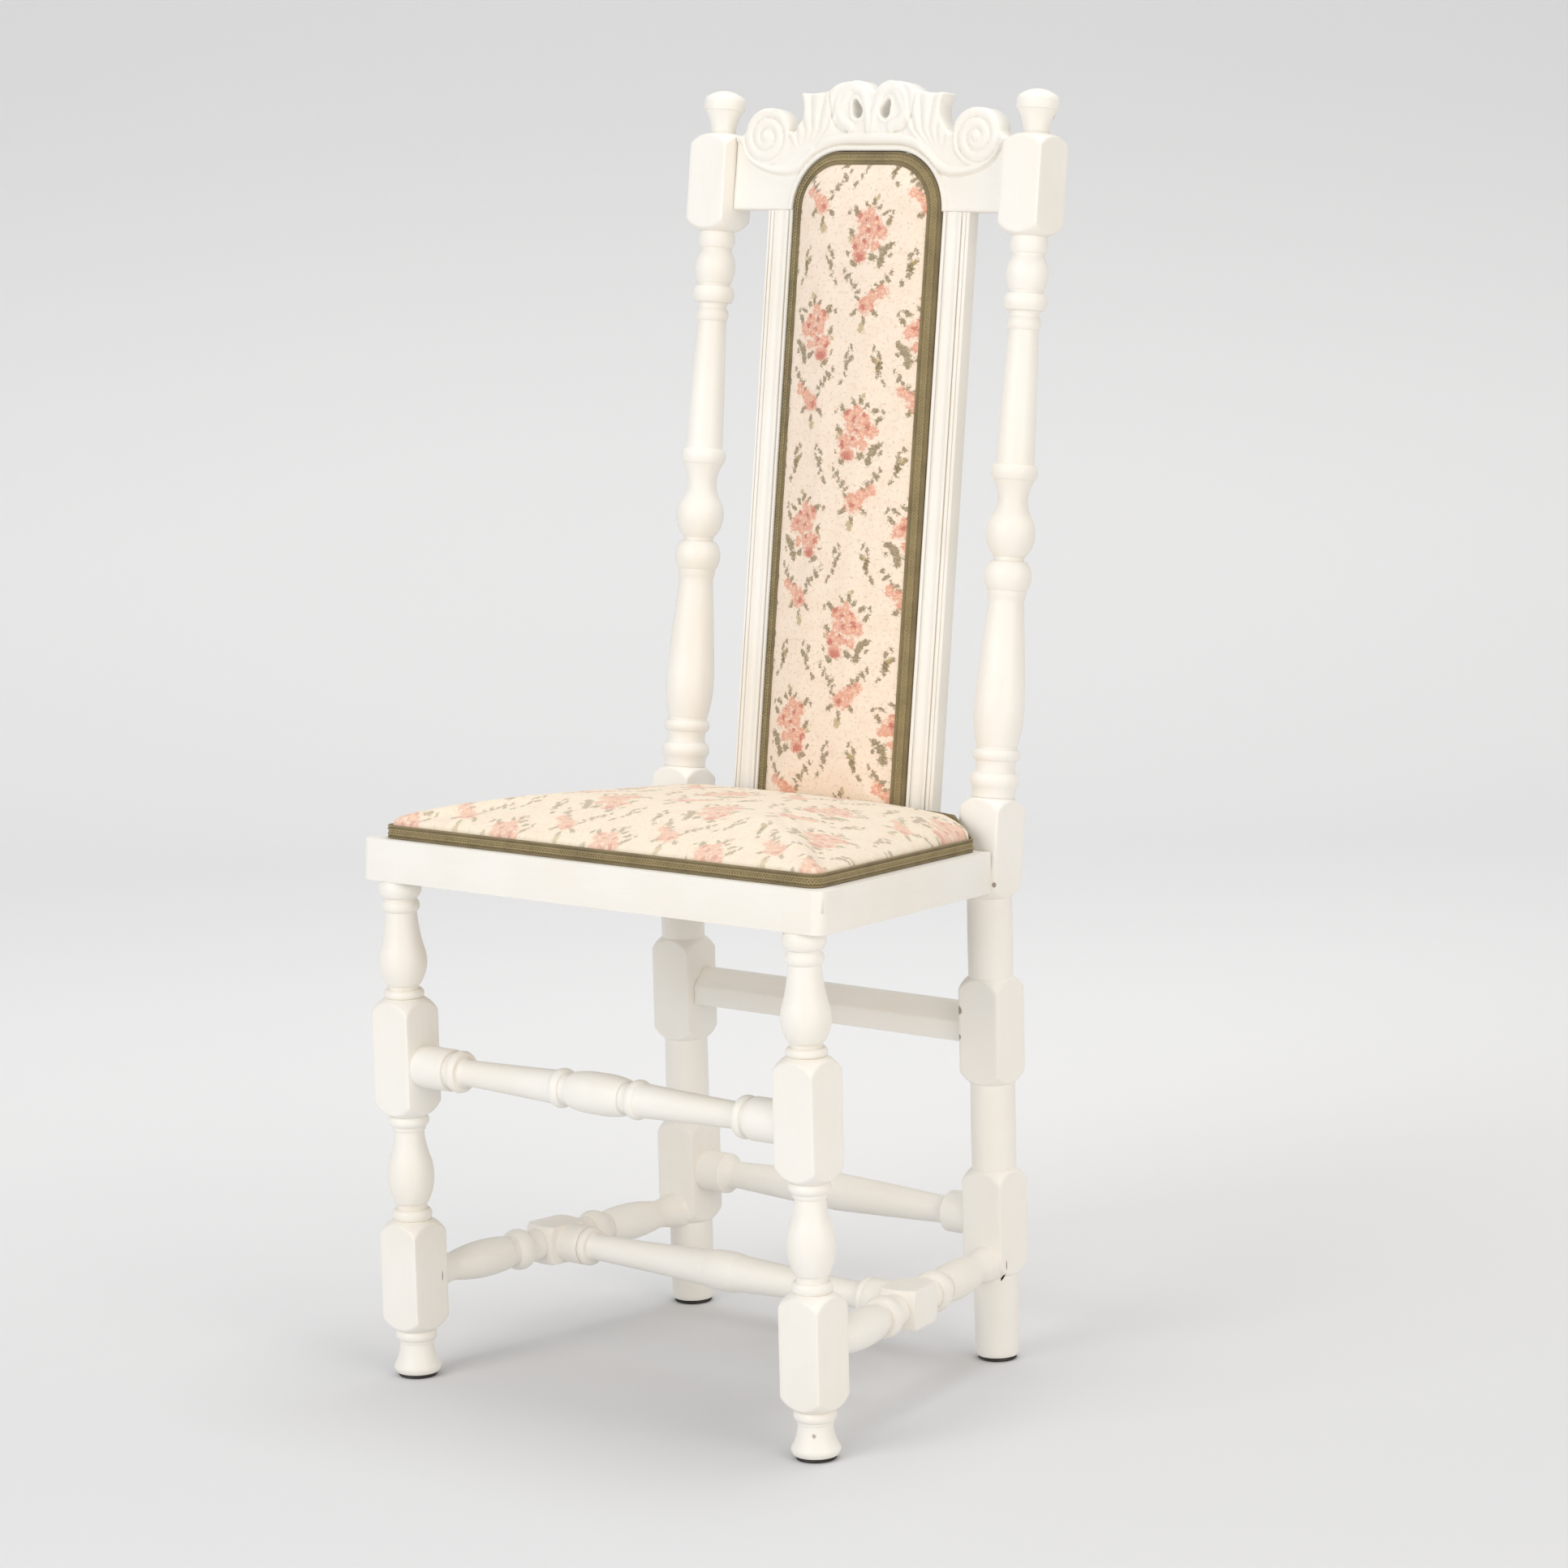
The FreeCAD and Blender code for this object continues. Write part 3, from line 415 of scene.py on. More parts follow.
# Blots of one posy and of the sprig below it: x, y, half width, half height and turn in degrees, from the middle
# of the posy. Every other column has them the other way round.
posyRoses = (
    (-9, 15, 7, 6, 20), (-1, 20, 4.5, 5, 0), (5, 11, 6.5, 6, -15), (-7, 4, 6, 6, 0), (12, 3, 6, 6.5, 30),
    (3, 0, 5, 5, 0), (-14, -8, 6, 6, 40), (-4, -9, 6, 5, 0), (6, -11, 4.5, 4.5, 20), (-10, -19, 7.5, 6, -10),
    (1, -63, 9, 8, 20), (8, -56, 6, 5, 0), (17, -51, 4.5, 5, -30),
)
posyDeep = (
    (-10, -21, 6, 4.4, -15), (-16, -11, 2.6, 3.6, 20), (-4, 12, 2.4, 3.0, 0), (9, 6, 2.4, 3.4, 40),
    (-1, 3, 2.2, 2.6, 0), (-2, -65, 3.6, 3, 0), (-12, 18, 2.4, 2.8, 0), (6, 15, 2, 2.2, 0), (-5, -6, 2, 2.6, 30),
)
posyLeaves = (
    (16, -15, 4.2, 6, -35), (21, -10, 2.8, 5, -60), (13, -24, 3.4, 5.5, -10), (4, -21, 3.2, 4, 60),
    (-20, 1, 2.4, 4.5, 30), (-17, 21, 2.4, 5, 40), (-16, -27, 2.6, 4.5, 50), (20, 12, 2.2, 5, -35),
    (16, 20, 2.0, 4, -60), (2, 29, 2.0, 4.5, 10), (8, 25, 1.8, 3.6, -45), (-5, 27, 1.7, 3.6, 45),
    (-12, -71, 2.2, 4.5, -50), (10, -70, 2.2, 4.5, 40), (-9, -57, 1.8, 3.6, 50), (-1, -78, 1.8, 4, 10),
    (17, 60, 2.6, 5.4, -8),
)
posyBuds = (
    (-3, -84, 3.2, 4.6, 0), (5, 34, 2.2, 2.8, 0), (-22, -5, 2.0, 2.6, 0), (14, 66, 2.2, 3.0, 40),
)
# Leaves of the swags between them, the same on both sides
swagLeaves = (
    (9, -51, 1.7, 3.2, 60), (13, -47, 2.2, 4.2, 40), (17, -43, 1.7, 3.2, -20), (21, -39, 2.2, 4.2, 35),
    (25, -33, 1.6, 3.0, 0), (23, 46, 1.8, 3.6, 30), (18, 53, 1.6, 3.2, -30), (16, 61, 2.4, 5.0, -8),
    (12, 66, 1.9, 4.2, 35), (17, 71, 1.9, 4.2, 20), (12, 76, 1.5, 3.2, -20), (24, 20, 1.5, 3.0, 20),
    (23, -18, 1.4, 2.6, -30),
)


def floralCloth(name, columnAt, rowAt, lightWash=0.0, ground=clothValues["ground"]):
    # A small printed rose pattern in a half drop on a plain weave. The cloth map is in metres on the flat cloth,
    # and one posy has its middle at columnAt, rowAt. The print can be washed out towards the ground, the more the
    # higher the wash: painted light, for a cover that faces up to the lamps.
    v = clothValues
    f = Finish(name)
    flat = f.node("ShaderNodeUVMap", {"uv_map": "cloth"})
    across, up, _ = f.split(flat)
    shifted = f.stretched(flat, (1, 1, 1), at=(7.3, 2.1, 0))
    moves = [(f.noise(at, v["frayScale"], 2.0, 0.6) - 0.5) * v["fray"]
             + (f.noise(at, v["driftScale"], 1.0) - 0.5) * v["drift"] for at in (flat, shifted)]
    across, up = across / mm, up / mm
    x = across - columnAt + moves[0]
    y = up - rowAt + moves[1]
    columnNumber = x.maths("ROUND", x / v["column"])
    odd = x.maths("MODULO", columnNumber + v["evenStart"], 2.0)
    x = x - columnNumber * v["column"]
    y = y + odd * (v["repeat"] / 2)
    y = y - y.maths("ROUND", y / v["repeat"]) * v["repeat"]
    turned = f.node("ShaderNodeCombineXYZ", None, {0: x * (1.0 - odd * 2.0), 1: y})
    folded = f.node("ShaderNodeCombineXYZ", None, {0: x.maths("ABSOLUTE", x), 1: y})

    def reachOf(table, local):
        # How far out in the nearest blot: 0 in its middle and 1 at its rim
        total = None
        for bx, by, bw, bh, turn in table:
            near = f.node("ShaderNodeMapping", {"vector_type": "TEXTURE"},
                          {"Vector": local, "Location": (bx, by, 0), "Rotation": (0, 0, math.radians(turn)),
                           "Scale": (bw, bh, 1)})
            reach = f.node("ShaderNodeVectorMath", {"operation": "LENGTH"}, {0: near}, "Value")
            total = reach if total is None else total.maths("MINIMUM", total, reach)
        return total

    mottle = f.noise(flat, v["mottleScale"], 3.0, 0.6)
    patches = f.noise(flat, v["patchScale"], 2.0, 0.6)
    petals = f.node("ShaderNodeTexVoronoi", {"feature": "DISTANCE_TO_EDGE"},
                    {"Vector": flat, "Scale": v["petalScale"]})
    roseReach = reachOf(posyRoses, turned)
    roses = f.ease(roseReach + (patches - 0.5) * 1.8 + (mottle - 0.5) * 0.8, 1.35, 0.70)
    deep = f.ease(reachOf(posyDeep, turned) + (mottle - 0.5) * 2.0, 1.3, 0.5)
    leaves = f.ease(reachOf(posyLeaves, turned) + (patches - 0.5) * 1.6, 1.35, 0.75)
    buds = f.ease(reachOf(posyBuds, turned) + (mottle - 0.5) * 1.2, 1.3, 0.7)
    swags = f.ease(reachOf(swagLeaves, folded) + (patches - 0.5) * 2.2, 1.35, 0.65)
    shade = f.noise(flat, v["shadeScale"], 2.0)
    ground = f.mix(f.ease(shade, 0.4, 0.75) * 0.5, ground, v["groundShade"])
    ground = f.mix(f.ease(patches, 0.52, 0.68) * 0.5, ground, v["groundBlush"])
    rose = f.mix(f.ease(mottle + roseReach * 0.30, 0.52, 0.78), v["rosePale"], v["rose"])
    rose = f.mix(f.ease(petals + mottle * 0.12, 0.17, 0.05) * 0.45, rose, v["roseDeep"])
    leaf = f.mix(f.ease(mottle, 0.42, 0.60), v["leafDark"], v["leaf"])
    dots = f.ease(f.noise(flat, v["dotScale"], 3.0, 0.7), 0.56, 0.66) * 0.42
    colour = f.mix(dots, ground, v["leafGrey"])
    colour = f.mix(swags * 0.80, colour, f.mix(f.ease(mottle, 0.45, 0.65), v["leafDark"], v["leaf"]))
    colour = f.mix(leaves * 0.85, colour, leaf)
    colour = f.mix(buds * 0.70, colour, v["bud"])
    colour = f.mix(roses * 0.88, colour, rose)
    colour = f.mix(deep * 0.72, colour, v["roseDeep"])
    # painted light: the print washed out towards the ground
    colour = f.mix(lightWash, colour, ground)
    beat = math.pi / v["thread"]
    weave = across.maths("SINE", across * beat) * up.maths("SINE", up * beat) * 0.5 + 0.5
    colour = f.mix((1 - weave) * 0.08, colour, v["groundShade"])
    slub = f.noise(f.stretched(flat, (1, 12, 1)), v["slubScale"], 2.0)
    return f.finish(Base_Color=colour, Roughness=0.88 + (weave - 0.5) * 0.06, Sheen_Weight=0.15,
                    Sheen_Roughness=0.5, Normal=f.bump(weave + slub * 0.6, v["relief"], 0.5))


braidValues = {
    "light": rgb(0.71, 0.64, 0.46),
    "middle": rgb(0.57, 0.50, 0.33),
    "dark": rgb(0.29, 0.24, 0.14),
    "fibreScale": 1600.0,
    "cloudScale": 45.0,
    "relief": 0.0002,
}


def braidThread(name, darker=0.0):
    v = braidValues
    f = Finish(name)
    place = f.place()
    fibres = f.noise(place, v["fibreScale"], 2.0, 0.7)
    clouds = f.noise(place, v["cloudScale"], 2.0)
    hollow = f.attribute("hollow")
    colour = f.mix(f.ease(fibres, 0.35, 0.65), v["middle"], v["light"])
    colour = f.mix(f.ease(clouds, 0.35, 0.75) * 0.22 + 0.08 + darker, colour, v["dark"])
    # painted shade: the braid is darker in the hollows between its threads
    colour = f.mix(hollow * 0.6, colour, v["dark"])
    return f.finish(Base_Color=colour, Roughness=0.62, Sheen_Weight=0.3, Normal=f.bump(fibres, v["relief"], 0.6))


def wovenCloth(name, light, dark, thread, stripes=None):
    # Plain weave in two tones, with thick and thin threads; stripes are (place, half width, tone) along a strap
    f = Finish(name)
    flat = f.node("ShaderNodeUVMap", {"uv_map": "cloth"})
    across, up = [way / mm for way in f.split(flat)[:2]]
    beat = math.pi / thread
    wobble = f.noise(flat, 150.0, 2.0) * 1.2
    weave = across.maths("SINE", across * beat + wobble) * up.maths("SINE", up * beat + wobble) * 0.5 + 0.5
    slubs = f.noise(f.stretched(flat, (1, 14, 1)), 260.0, 2.0) * 0.5
    slubs = slubs + f.noise(f.stretched(flat, (14, 1, 1)), 260.0, 2.0) * 0.5
    colour = f.mix(f.ease(weave, 0.05, 0.55), dark, light)
    colour = f.mix(f.ease(slubs, 0.42, 0.66) * 0.45, colour, dark)
    if stripes is not None:
        offset, width, tone = stripes
        reach = across.maths("ABSOLUTE", across.maths("ABSOLUTE", across) - offset)
        colour = f.mix(f.ease(reach, width, width * 0.7) * 0.8, colour, tone)
    return f.finish(Base_Color=colour, Roughness=0.92, Normal=f.bump(weave + slubs, 0.0004, 0.8))


def glideRubber(name):
    f = Finish(name)
    place = f.place()
    grain = f.noise(place, 800.0, 3.0)
    dust = f.noise(place, 60.0, 3.0)
    colour = f.mix(f.ease(dust, 0.45, 0.8) * 0.5, rgb(0.17, 0.16, 0.15), rgb(0.40, 0.37, 0.33))
    return f.finish(Base_Color=colour, Roughness=0.6 + grain * 0.2, Normal=f.bump(grain, 0.0002, 0.5))


paintUp = paintedWood("paintAlongPosts")
paintAcross = paintedWood("paintAlongRails", grain=(0.12, 1.0, 1.0))
paintBack = paintedWood("paintAlongSides", grain=(1.0, 0.12, 1.0))
paintCarved = paintedWood("paintCarved", grain=(0.4, 1.0, 1.0))
paintFrame = paintedWood("paintAlongFrame", grain=(0.12, 0.12, 1.0))
beech = bareWood("bareBeech")
# painted light: the seat's copy of the cover is washed out towards its own ground, for the light on its top
floralSeat = floralCloth("floralSeatCover", 8.0, -40.0, lightWash=0.36, ground=rgb(0.950, 0.905, 0.825))
floralBack = floralCloth("floralBackCover", 20.5, 561.0)
braid = braidThread("gimpBraid")
braidCord = braidThread("gimpCord", darker=0.25)
jute = wovenCloth("juteWebbing", rgb(0.72, 0.62, 0.46), rgb(0.47, 0.38, 0.26), 1.4,
                  stripes=(20.0, 1.3, rgb(0.45, 0.25, 0.20)))
hessian = wovenCloth("hessianCloth", rgb(0.74, 0.64, 0.48), rgb(0.42, 0.33, 0.22), 1.0)
lining = wovenCloth("liningCotton", rgb(0.90, 0.86, 0.77), rgb(0.80, 0.75, 0.65), 0.45)
canvas = wovenCloth("canvasCloth", rgb(0.84, 0.78, 0.66), rgb(0.66, 0.59, 0.47), 0.6)
rubber = glideRubber("glideRubber")
print("materials made")

# A row of a turning is its share of the length, then its radius at the start, middle and end as shares of half
# the square stock. Without a middle it runs straight, otherwise it is an arc.
turning = {
    "ringSides": 8,            # steps in an eighth of a turn
    "step": 1.5,               # along an arc
    "straightStep": 6.0,
    "sunk": 8.0,               # how far a slanting stretcher's end goes into the block, as its tenon does
    "soften": 0.7,             # paint rounds each corner by this much
    "blockEdge": 28.0,         # the higher, the sharper the blocks' long edges
    "cornerTurn": 22.0,        # degrees from which a corner is softened
    "cornerShare": 0.42,       # and the most of a short run that this takes
    "blend": 0.9,              # between a block's flat faces and its round ends
    "frontFoot": ((0.14, 0.90, 0.98, 1.0), (0.56, 1.0, 0.78, 0.70), (0.06, 0.74, None, 0.74),
                  (0.24, 0.76, 0.87, 0.76)),
    "block": ((0.15, 0.78, 1.25, 1.46), (0.70, 1.46, None, 1.46), (0.15, 1.46, 1.25, 0.78)),
    "rearBlock": ((0.15, 0.93, 1.28, 1.46), (0.70, 1.46, None, 1.46), (0.15, 1.46, 1.28, 0.93)),
    "lowerBaluster": ((0.10, 0.74, 0.84, 0.74), (0.06, 0.64, None, 0.64), (0.42, 0.70, 0.97, 0.88),
                      (0.28, 0.88, 0.70, 0.62), (0.04, 0.70, None, 0.70), (0.10, 0.74, 0.86, 0.74)),
    "upperBaluster": ((0.07, 0.74, 0.85, 0.74), (0.04, 0.64, None, 0.64), (0.32, 0.70, 1.0, 0.90),
                      (0.31, 0.90, 0.74, 0.66), (0.09, 0.70, 0.79, 0.70), (0.03, 0.68, None, 0.68),
                      (0.14, 0.76, 0.89, 0.78)),
    "legTop": ((1.0, 0.78, None, 0.78),),
    "rearFoot": ((0.06, 0.87, 0.91, 0.92), (0.94, 0.92, 0.94, 0.94)),
    "rearRound": ((1.0, 0.93, 0.945, 0.93),),
    "upperPost": ((0.016, 0.90, None, 0.90), (0.028, 0.90, 1.03, 0.90), (0.022, 0.86, 0.80, 0.86),
                  (0.020, 0.90, 0.99, 0.90), (0.006, 0.84, None, 0.84), (0.088, 0.86, 1.03, 1.03),
                  (0.168, 1.03, 0.90, 0.74), (0.012, 0.74, 0.75, 0.80), (0.010, 0.80, None, 0.80),
                  (0.052, 0.82, 0.99, 0.76), (0.008, 0.64, None, 0.64), (0.066, 0.66, 1.02, 0.90),
                  (0.036, 0.90, 0.70, 0.63), (0.036, 0.63, 0.70, 0.88), (0.026, 0.90, 0.97, 0.88),
                  (0.004, 0.80, None, 0.80), (0.236, 0.80, 0.73, 0.62), (0.022, 0.64, 0.71, 0.64),
                  (0.012, 0.62, 0.61, 0.66), (0.030, 0.80, 0.91, 0.80), (0.006, 0.70, None, 0.70),
                  (0.060, 0.72, 0.88, 0.68), (0.006, 0.68, None, 0.68), (0.030, 0.72, 0.80, 0.72)),
    "finial": ((0.06, 0.70, None, 0.60), (0.49, 0.60, 0.70, 0.95), (0.23, 1.0, None, 1.0),
               (0.10, 0.96, 0.93, 0.80), (0.12, 0.80, 0.58, 0.06)),
    "frontStretcher": ((0.170, 1.0, None, 1.0), (0.024, 0.86, None, 0.86), (0.044, 0.90, 1.0, 0.90),
                       (0.030, 0.74, 0.64, 0.62), (0.500, 0.62, 0.70, 0.80), (0.048, 0.84, 0.93, 0.84),
                       (0.040, 0.74, 0.70, 0.74), (0.144, 0.84, 0.96, 0.97)),
    "crossStretcher": ((0.160, 1.0, None, 1.0), (0.044, 0.90, 1.0, 0.90), (0.028, 0.74, 0.68, 0.66),
                       (0.688, 0.66, 0.77, 0.94), (0.080, 0.96, 1.02, 1.02)),
    "backStretcher": ((0.17, 1.0, None, 1.0), (0.08, 1.0, 0.74, 0.66), (0.75, 0.66, 0.80, 0.92)),
    "sideArm": ((0.16, 1.10, 0.88, 0.78), (0.10, 0.78, 0.70, 0.68), (0.46, 0.68, 0.90, 0.80),
                (0.05, 0.72, None, 0.72), (0.12, 0.86, 1.0, 0.86), (0.11, 0.76, None, 0.76)),
}


def arcBetween(start, middle, end, step):
    # Points of the arc through three (height, radius) points, without the last
    (x1, y1), (x2, y2), (x3, y3) = start, middle, end
    twice = 2 * (x1 * (y2 - y3) + x2 * (y3 - y1) + x3 * (y1 - y2))
    if abs(twice) < 0.01:
        return [start]
    s1, s2, s3 = x1 * x1 + y1 * y1, x2 * x2 + y2 * y2, x3 * x3 + y3 * y3
    cx = (s1 * (y2 - y3) + s2 * (y3 - y1) + s3 * (y1 - y2)) / twice
    cy = (s1 * (x3 - x2) + s2 * (x1 - x3) + s3 * (x2 - x1)) / twice
    radius = math.hypot(x1 - cx, y1 - cy)
    first, last = math.atan2(y1 - cy, x1 - cx), math.atan2(y3 - cy, x3 - cx)
    through = math.atan2(y2 - cy, x2 - cx)
    sweep = (last - first) % (2 * math.pi)
    if (through - first) % (2 * math.pi) > sweep:
        sweep -= 2 * math.pi
    count = max(4, math.ceil(abs(sweep) * radius / step))
    return [(cx + radius * math.cos(first + sweep * k / count), cy + radius * math.sin(first + sweep * k / count))
            for k in range(count)]


def turningLine(sections, base):
    # Sections are (length, half stock, rows, half of the square or 0). Gives height, radius and square per ring.
    line = []
    height = base
    for length, halfStock, rows, square in sections:
        for share, startShare, middleShare, endShare in rows:
            top = height + share * length
            start, end = (height, startShare * halfStock), (top, endShare * halfStock)
            if middleShare is None:
                pieces = max(1, round((top - height) / turning["straightStep"]))
                part = [(height + (top - height) * k / pieces,
                         start[1] + (end[1] - start[1]) * k / pieces) for k in range(pieces)]
            else:
                part = arcBetween(start, ((height + top) / 2, middleShare * halfStock), end,
                                  turning["blend"] if square else turning["step"])
            line += [(h, r, square) for h, r in part + [end]]
            height = top
    soft = [line[0]]
    for before, here, after in zip(line, line[1:], line[2:]):
        back = np.array(before[:2]) - np.array(here[:2])
        ahead = np.array(after[:2]) - np.array(here[:2])
        backLength, aheadLength = np.linalg.norm(back), np.linalg.norm(ahead)
        if backLength < 0.01:
            continue
        if aheadLength < 0.01:
            soft.append(here)
            continue
        turn = math.degrees(math.acos(np.clip(-(back @ ahead) / backLength / aheadLength, -1, 1)))
        if turn < turning["cornerTurn"] or here[2]:
            soft.append(here)
            continue
        corner = np.array(here[:2])
        p = corner + back / backLength * min(turning["soften"], backLength * turning["cornerShare"])
        q = corner + ahead / aheadLength * min(turning["soften"], aheadLength * turning["cornerShare"])
        middle = (p + q) / 4 + corner / 2
        soft += [(*p, here[2]), (*middle, here[2]), (*q, here[2])]
    soft.append(line[-1])
    return soft


def softMin(a, b, blend):
    # The smaller of both, with a soft change from one to the other
    share = np.clip(0.5 + 0.5 * (b - a) / blend, 0, 1)
    return b * (1 - share) + a * share - blend * share * (1 - share)


eighth = [math.radians(45) * (1 - (1 - k / turning["ringSides"]) ** 1.5) for k in range(turning["ringSides"])]
ringAngles = np.array([quarter * math.pi / 2 + angle for quarter in range(4)
                       for angle in eighth + [math.pi / 2 - a for a in [math.pi / 4] + eighth[:0:-1]]])


def turnedPiece(name, sections, base, settle, material):
    line = turningLine(sections, base)
    cosines, sines = np.cos(ringAngles), np.sin(ringAngles)
    power = turning["blockEdge"]
    squareReach = (np.abs(cosines) ** power + np.abs(sines) ** power) ** (-1 / power)
    points = []
    for height, radius, square in line:
        reach = np.full(len(ringAngles), radius)
        if square:
            reach = softMin(squareReach * square, reach, turning["blend"])
        points.append(np.column_stack((reach * cosines, reach * sines, np.full(len(ringAngles), height))))
    sides = len(ringAngles)
    faces = quads(len(points), sides)
    places = np.concatenate(points)
    total = len(places)
    places = np.concatenate((places, [(0, 0, line[0][0]), (0, 0, line[-1][0])]))
    last = (len(points) - 1) * sides
    for k in range(sides):
        faces.append((total, (k + 1) % sides, k))
        faces.append((total + 1, last + k, last + (k + 1) % sides))
    return markShadeAndWear(addPiece(name, settle(places), faces, material))


blocks = {
    "frontLower": (43.0, 102.0),
    "frontUpper": (240.95, 108.0),
    "rearLower": (80.0, 97.0),
    "rearUpper": (256.04, 97.0),
    "seat": (426.0, 514.0),
    "crest": (1008.0, 90.0),   # base above the floor, length up the rake
    "legTop": 2.0,             # up to the sloping seat frame
    "postTop": 1137.0,
    "capDiameter": 38.5,
    "middleSide": 36.0,        # square block in each side stretcher
    "middleLength": 46.0,
}


def settleLeg(side):
    # A leg ends under the sloping seat frame
    def settle(p):
        y = p[:, 1]
        roof = chair["seatBase"] - y * tiltSin / tiltCos
        return np.column_stack((side * (legX + p[:, 0]), legY + y, np.minimum(p[:, 2], roof)))
    return settle


def settlePost(side):
    # A post leans from the height where it bends
    def settle(p):
        above = p[:, 2] - chair["rakeStart"]
        lean = np.radians(chair["rakeAngle"] * np.clip(above / chair["bend"] + 0.5, 0, 1))
        up = np.maximum(above, 0)
        y = postY + p[:, 1] * np.cos(lean) + up * rakeSin
        z = chair["rakeStart"] + np.minimum(above, 0) + up * rakeCos - p[:, 1] * np.sin(lean)
        return np.column_stack((side * (postX + p[:, 0]), y, z))
    return settle


legFoot = chair["glideThickness"]
lowBase, lowLength = blocks["frontLower"]
highBase, highLength = blocks["frontUpper"]
legSections = (
    (lowBase - legFoot, half, turning["frontFoot"], 0),
    (lowLength, half, turning["block"], half),
    (highBase - lowBase - lowLength, half, turning["lowerBaluster"], 0),
    (highLength, half, turning["block"], half),
    (chair["seatBase"] - highBase - highLength, half, turning["upperBaluster"], 0),
    (blocks["legTop"], half, turning["legTop"], 0),
)
lowBase, lowLength = blocks["rearLower"]
highBase, highLength = blocks["rearUpper"]
seatBlockBase, seatBlockTop = blocks["seat"]
crestBlockBase, crestBlockLength = blocks["crest"]
seatBlockLength = chair["rakeStart"] - seatBlockBase + upRake(seatBlockTop)
shaftLength = upRake(crestBlockBase) - upRake(seatBlockTop)
finialLength = upRake(blocks["postTop"]) - upRake(crestBlockBase) - crestBlockLength
kink = (chair["rakeStart"] - seatBlockBase) / seatBlockLength
seatBlockRows = ((0.15, 0.93, 1.28, 1.46), (kink - 0.15, 1.46, None, 1.46), (0.85 - kink, 1.46, None, 1.46),
                 (0.15, 1.46, 1.25, 0.86))
postSections = (
    (lowBase - legFoot, half, turning["rearFoot"], 0),
    (lowLength, half, turning["rearBlock"], half),
    (highBase - lowBase - lowLength, half, turning["rearRound"], 0),
    (highLength, half, turning["rearBlock"], half),
    (seatBlockBase - highBase - highLength, half, turning["rearRound"], 0),
    (seatBlockLength, half, seatBlockRows, half),
    (shaftLength, half, turning["upperPost"], 0),
    (crestBlockLength, half, turning["block"], half),
    (finialLength, blocks["capDiameter"] / 2, turning["finial"], 0),
)
for word, side in bothSides:
    leg = turnedPiece("frontLeg_" + word, legSections, legFoot, settleLeg(side), paintUp)
    dressed(leg, "front_leg_" + word)
    post = turnedPiece("rearPost_" + word, postSections, legFoot, settlePost(side), paintUp)
    dressed(post, "rear_post_" + word)
print("legs and posts turned")

stretchers = {
    "frontHeight": 240.95 + 47.0,
    "sideHeight": 92.0,
    "backHeight": 130.0,
    "diameter": 38.0,
    "crossDiameter": 36.0,
    "spare": 4.0,              # a slanting bar is made longer by this and is then cut off level
    "crossSpare": 3.0,
}


def laidAcross(y, z):
    return lambda p: np.column_stack((p[:, 2], y + p[:, 0], z + p[:, 1]))


def bothWays(rows):
    return tuple((share, end, middle, start) for share, start, middle, end in reversed(rows))


def evenBar(name, reach, diameter, settle, node):
    # A bar across the chair, whose two halves mirror each other
    rows = turning[name]
    sections = [(reach, diameter / 2, part, 0) for part in (rows, bothWays(rows))]
    dressed(turnedPiece(name, sections, -reach, settle, paintAcross), node)


evenBar("frontStretcher", legX - half, stretchers["diameter"], laidAcross(legY, stretchers["frontHeight"]),
        "front_stretcher")
evenBar("backStretcher", postInner, stretchers["diameter"], laidAcross(postY, stretchers["backHeight"]),
        "back_lower_stretcher")

sideStart = np.array((legX, legY))
sideRun = np.array((postX, postY)) - sideStart
sideLength = np.linalg.norm(sideRun)
sideWay = sideRun / sideLength
sideOut = np.array((sideWay[1], -sideWay[0]))
armStart = half / sideWay[1] - turning["sunk"] - stretchers["spare"]
armLength = (sideLength - blocks["middleLength"]) / 2 - armStart
middleHalf = blocks["middleSide"] / 2
rod = stretchers["diameter"] / 2


def settleSide(side):
    # The slanting bar's ends are level with the faces inside the leg and the post
    def settle(p):
        flat = sideStart + np.outer(p[:, 2], sideWay) + np.outer(p[:, 0], sideOut)
        y = np.clip(flat[:, 1], legY + half - turning["sunk"], postFront + turning["sunk"])
        return np.column_stack((side * flat[:, 0], y, stretchers["sideHeight"] + p[:, 1]))
    return settle


sideSections = ((armLength, rod, turning["sideArm"], 0),
                (blocks["middleLength"], middleHalf, turning["block"], middleHalf),
                (armLength, rod, bothWays(turning["sideArm"]), 0))
for word, side in bothSides:
    bar = turnedPiece("sideStretcher_" + word, sideSections, armStart, settleSide(side), paintBack)
    dressed(bar, "side_stretcher_" + word)

sideMiddle = sideStart + sideRun / 2


def settleCross(p):
    y = sideMiddle[1] + p[:, 0]
    limit = sideMiddle[0] + (p[:, 0] * sideWay[0] - middleHalf) / sideWay[1] + turning["sunk"]
    return np.column_stack((np.clip(p[:, 2], -limit, limit), y, stretchers["sideHeight"] + p[:, 1]))


evenBar("crossStretcher", sideMiddle[0] - middleHalf + turning["sunk"] + stretchers["crossSpare"],
        stretchers["crossDiameter"], settleCross, "cross_stretcher")
print("stretchers turned")


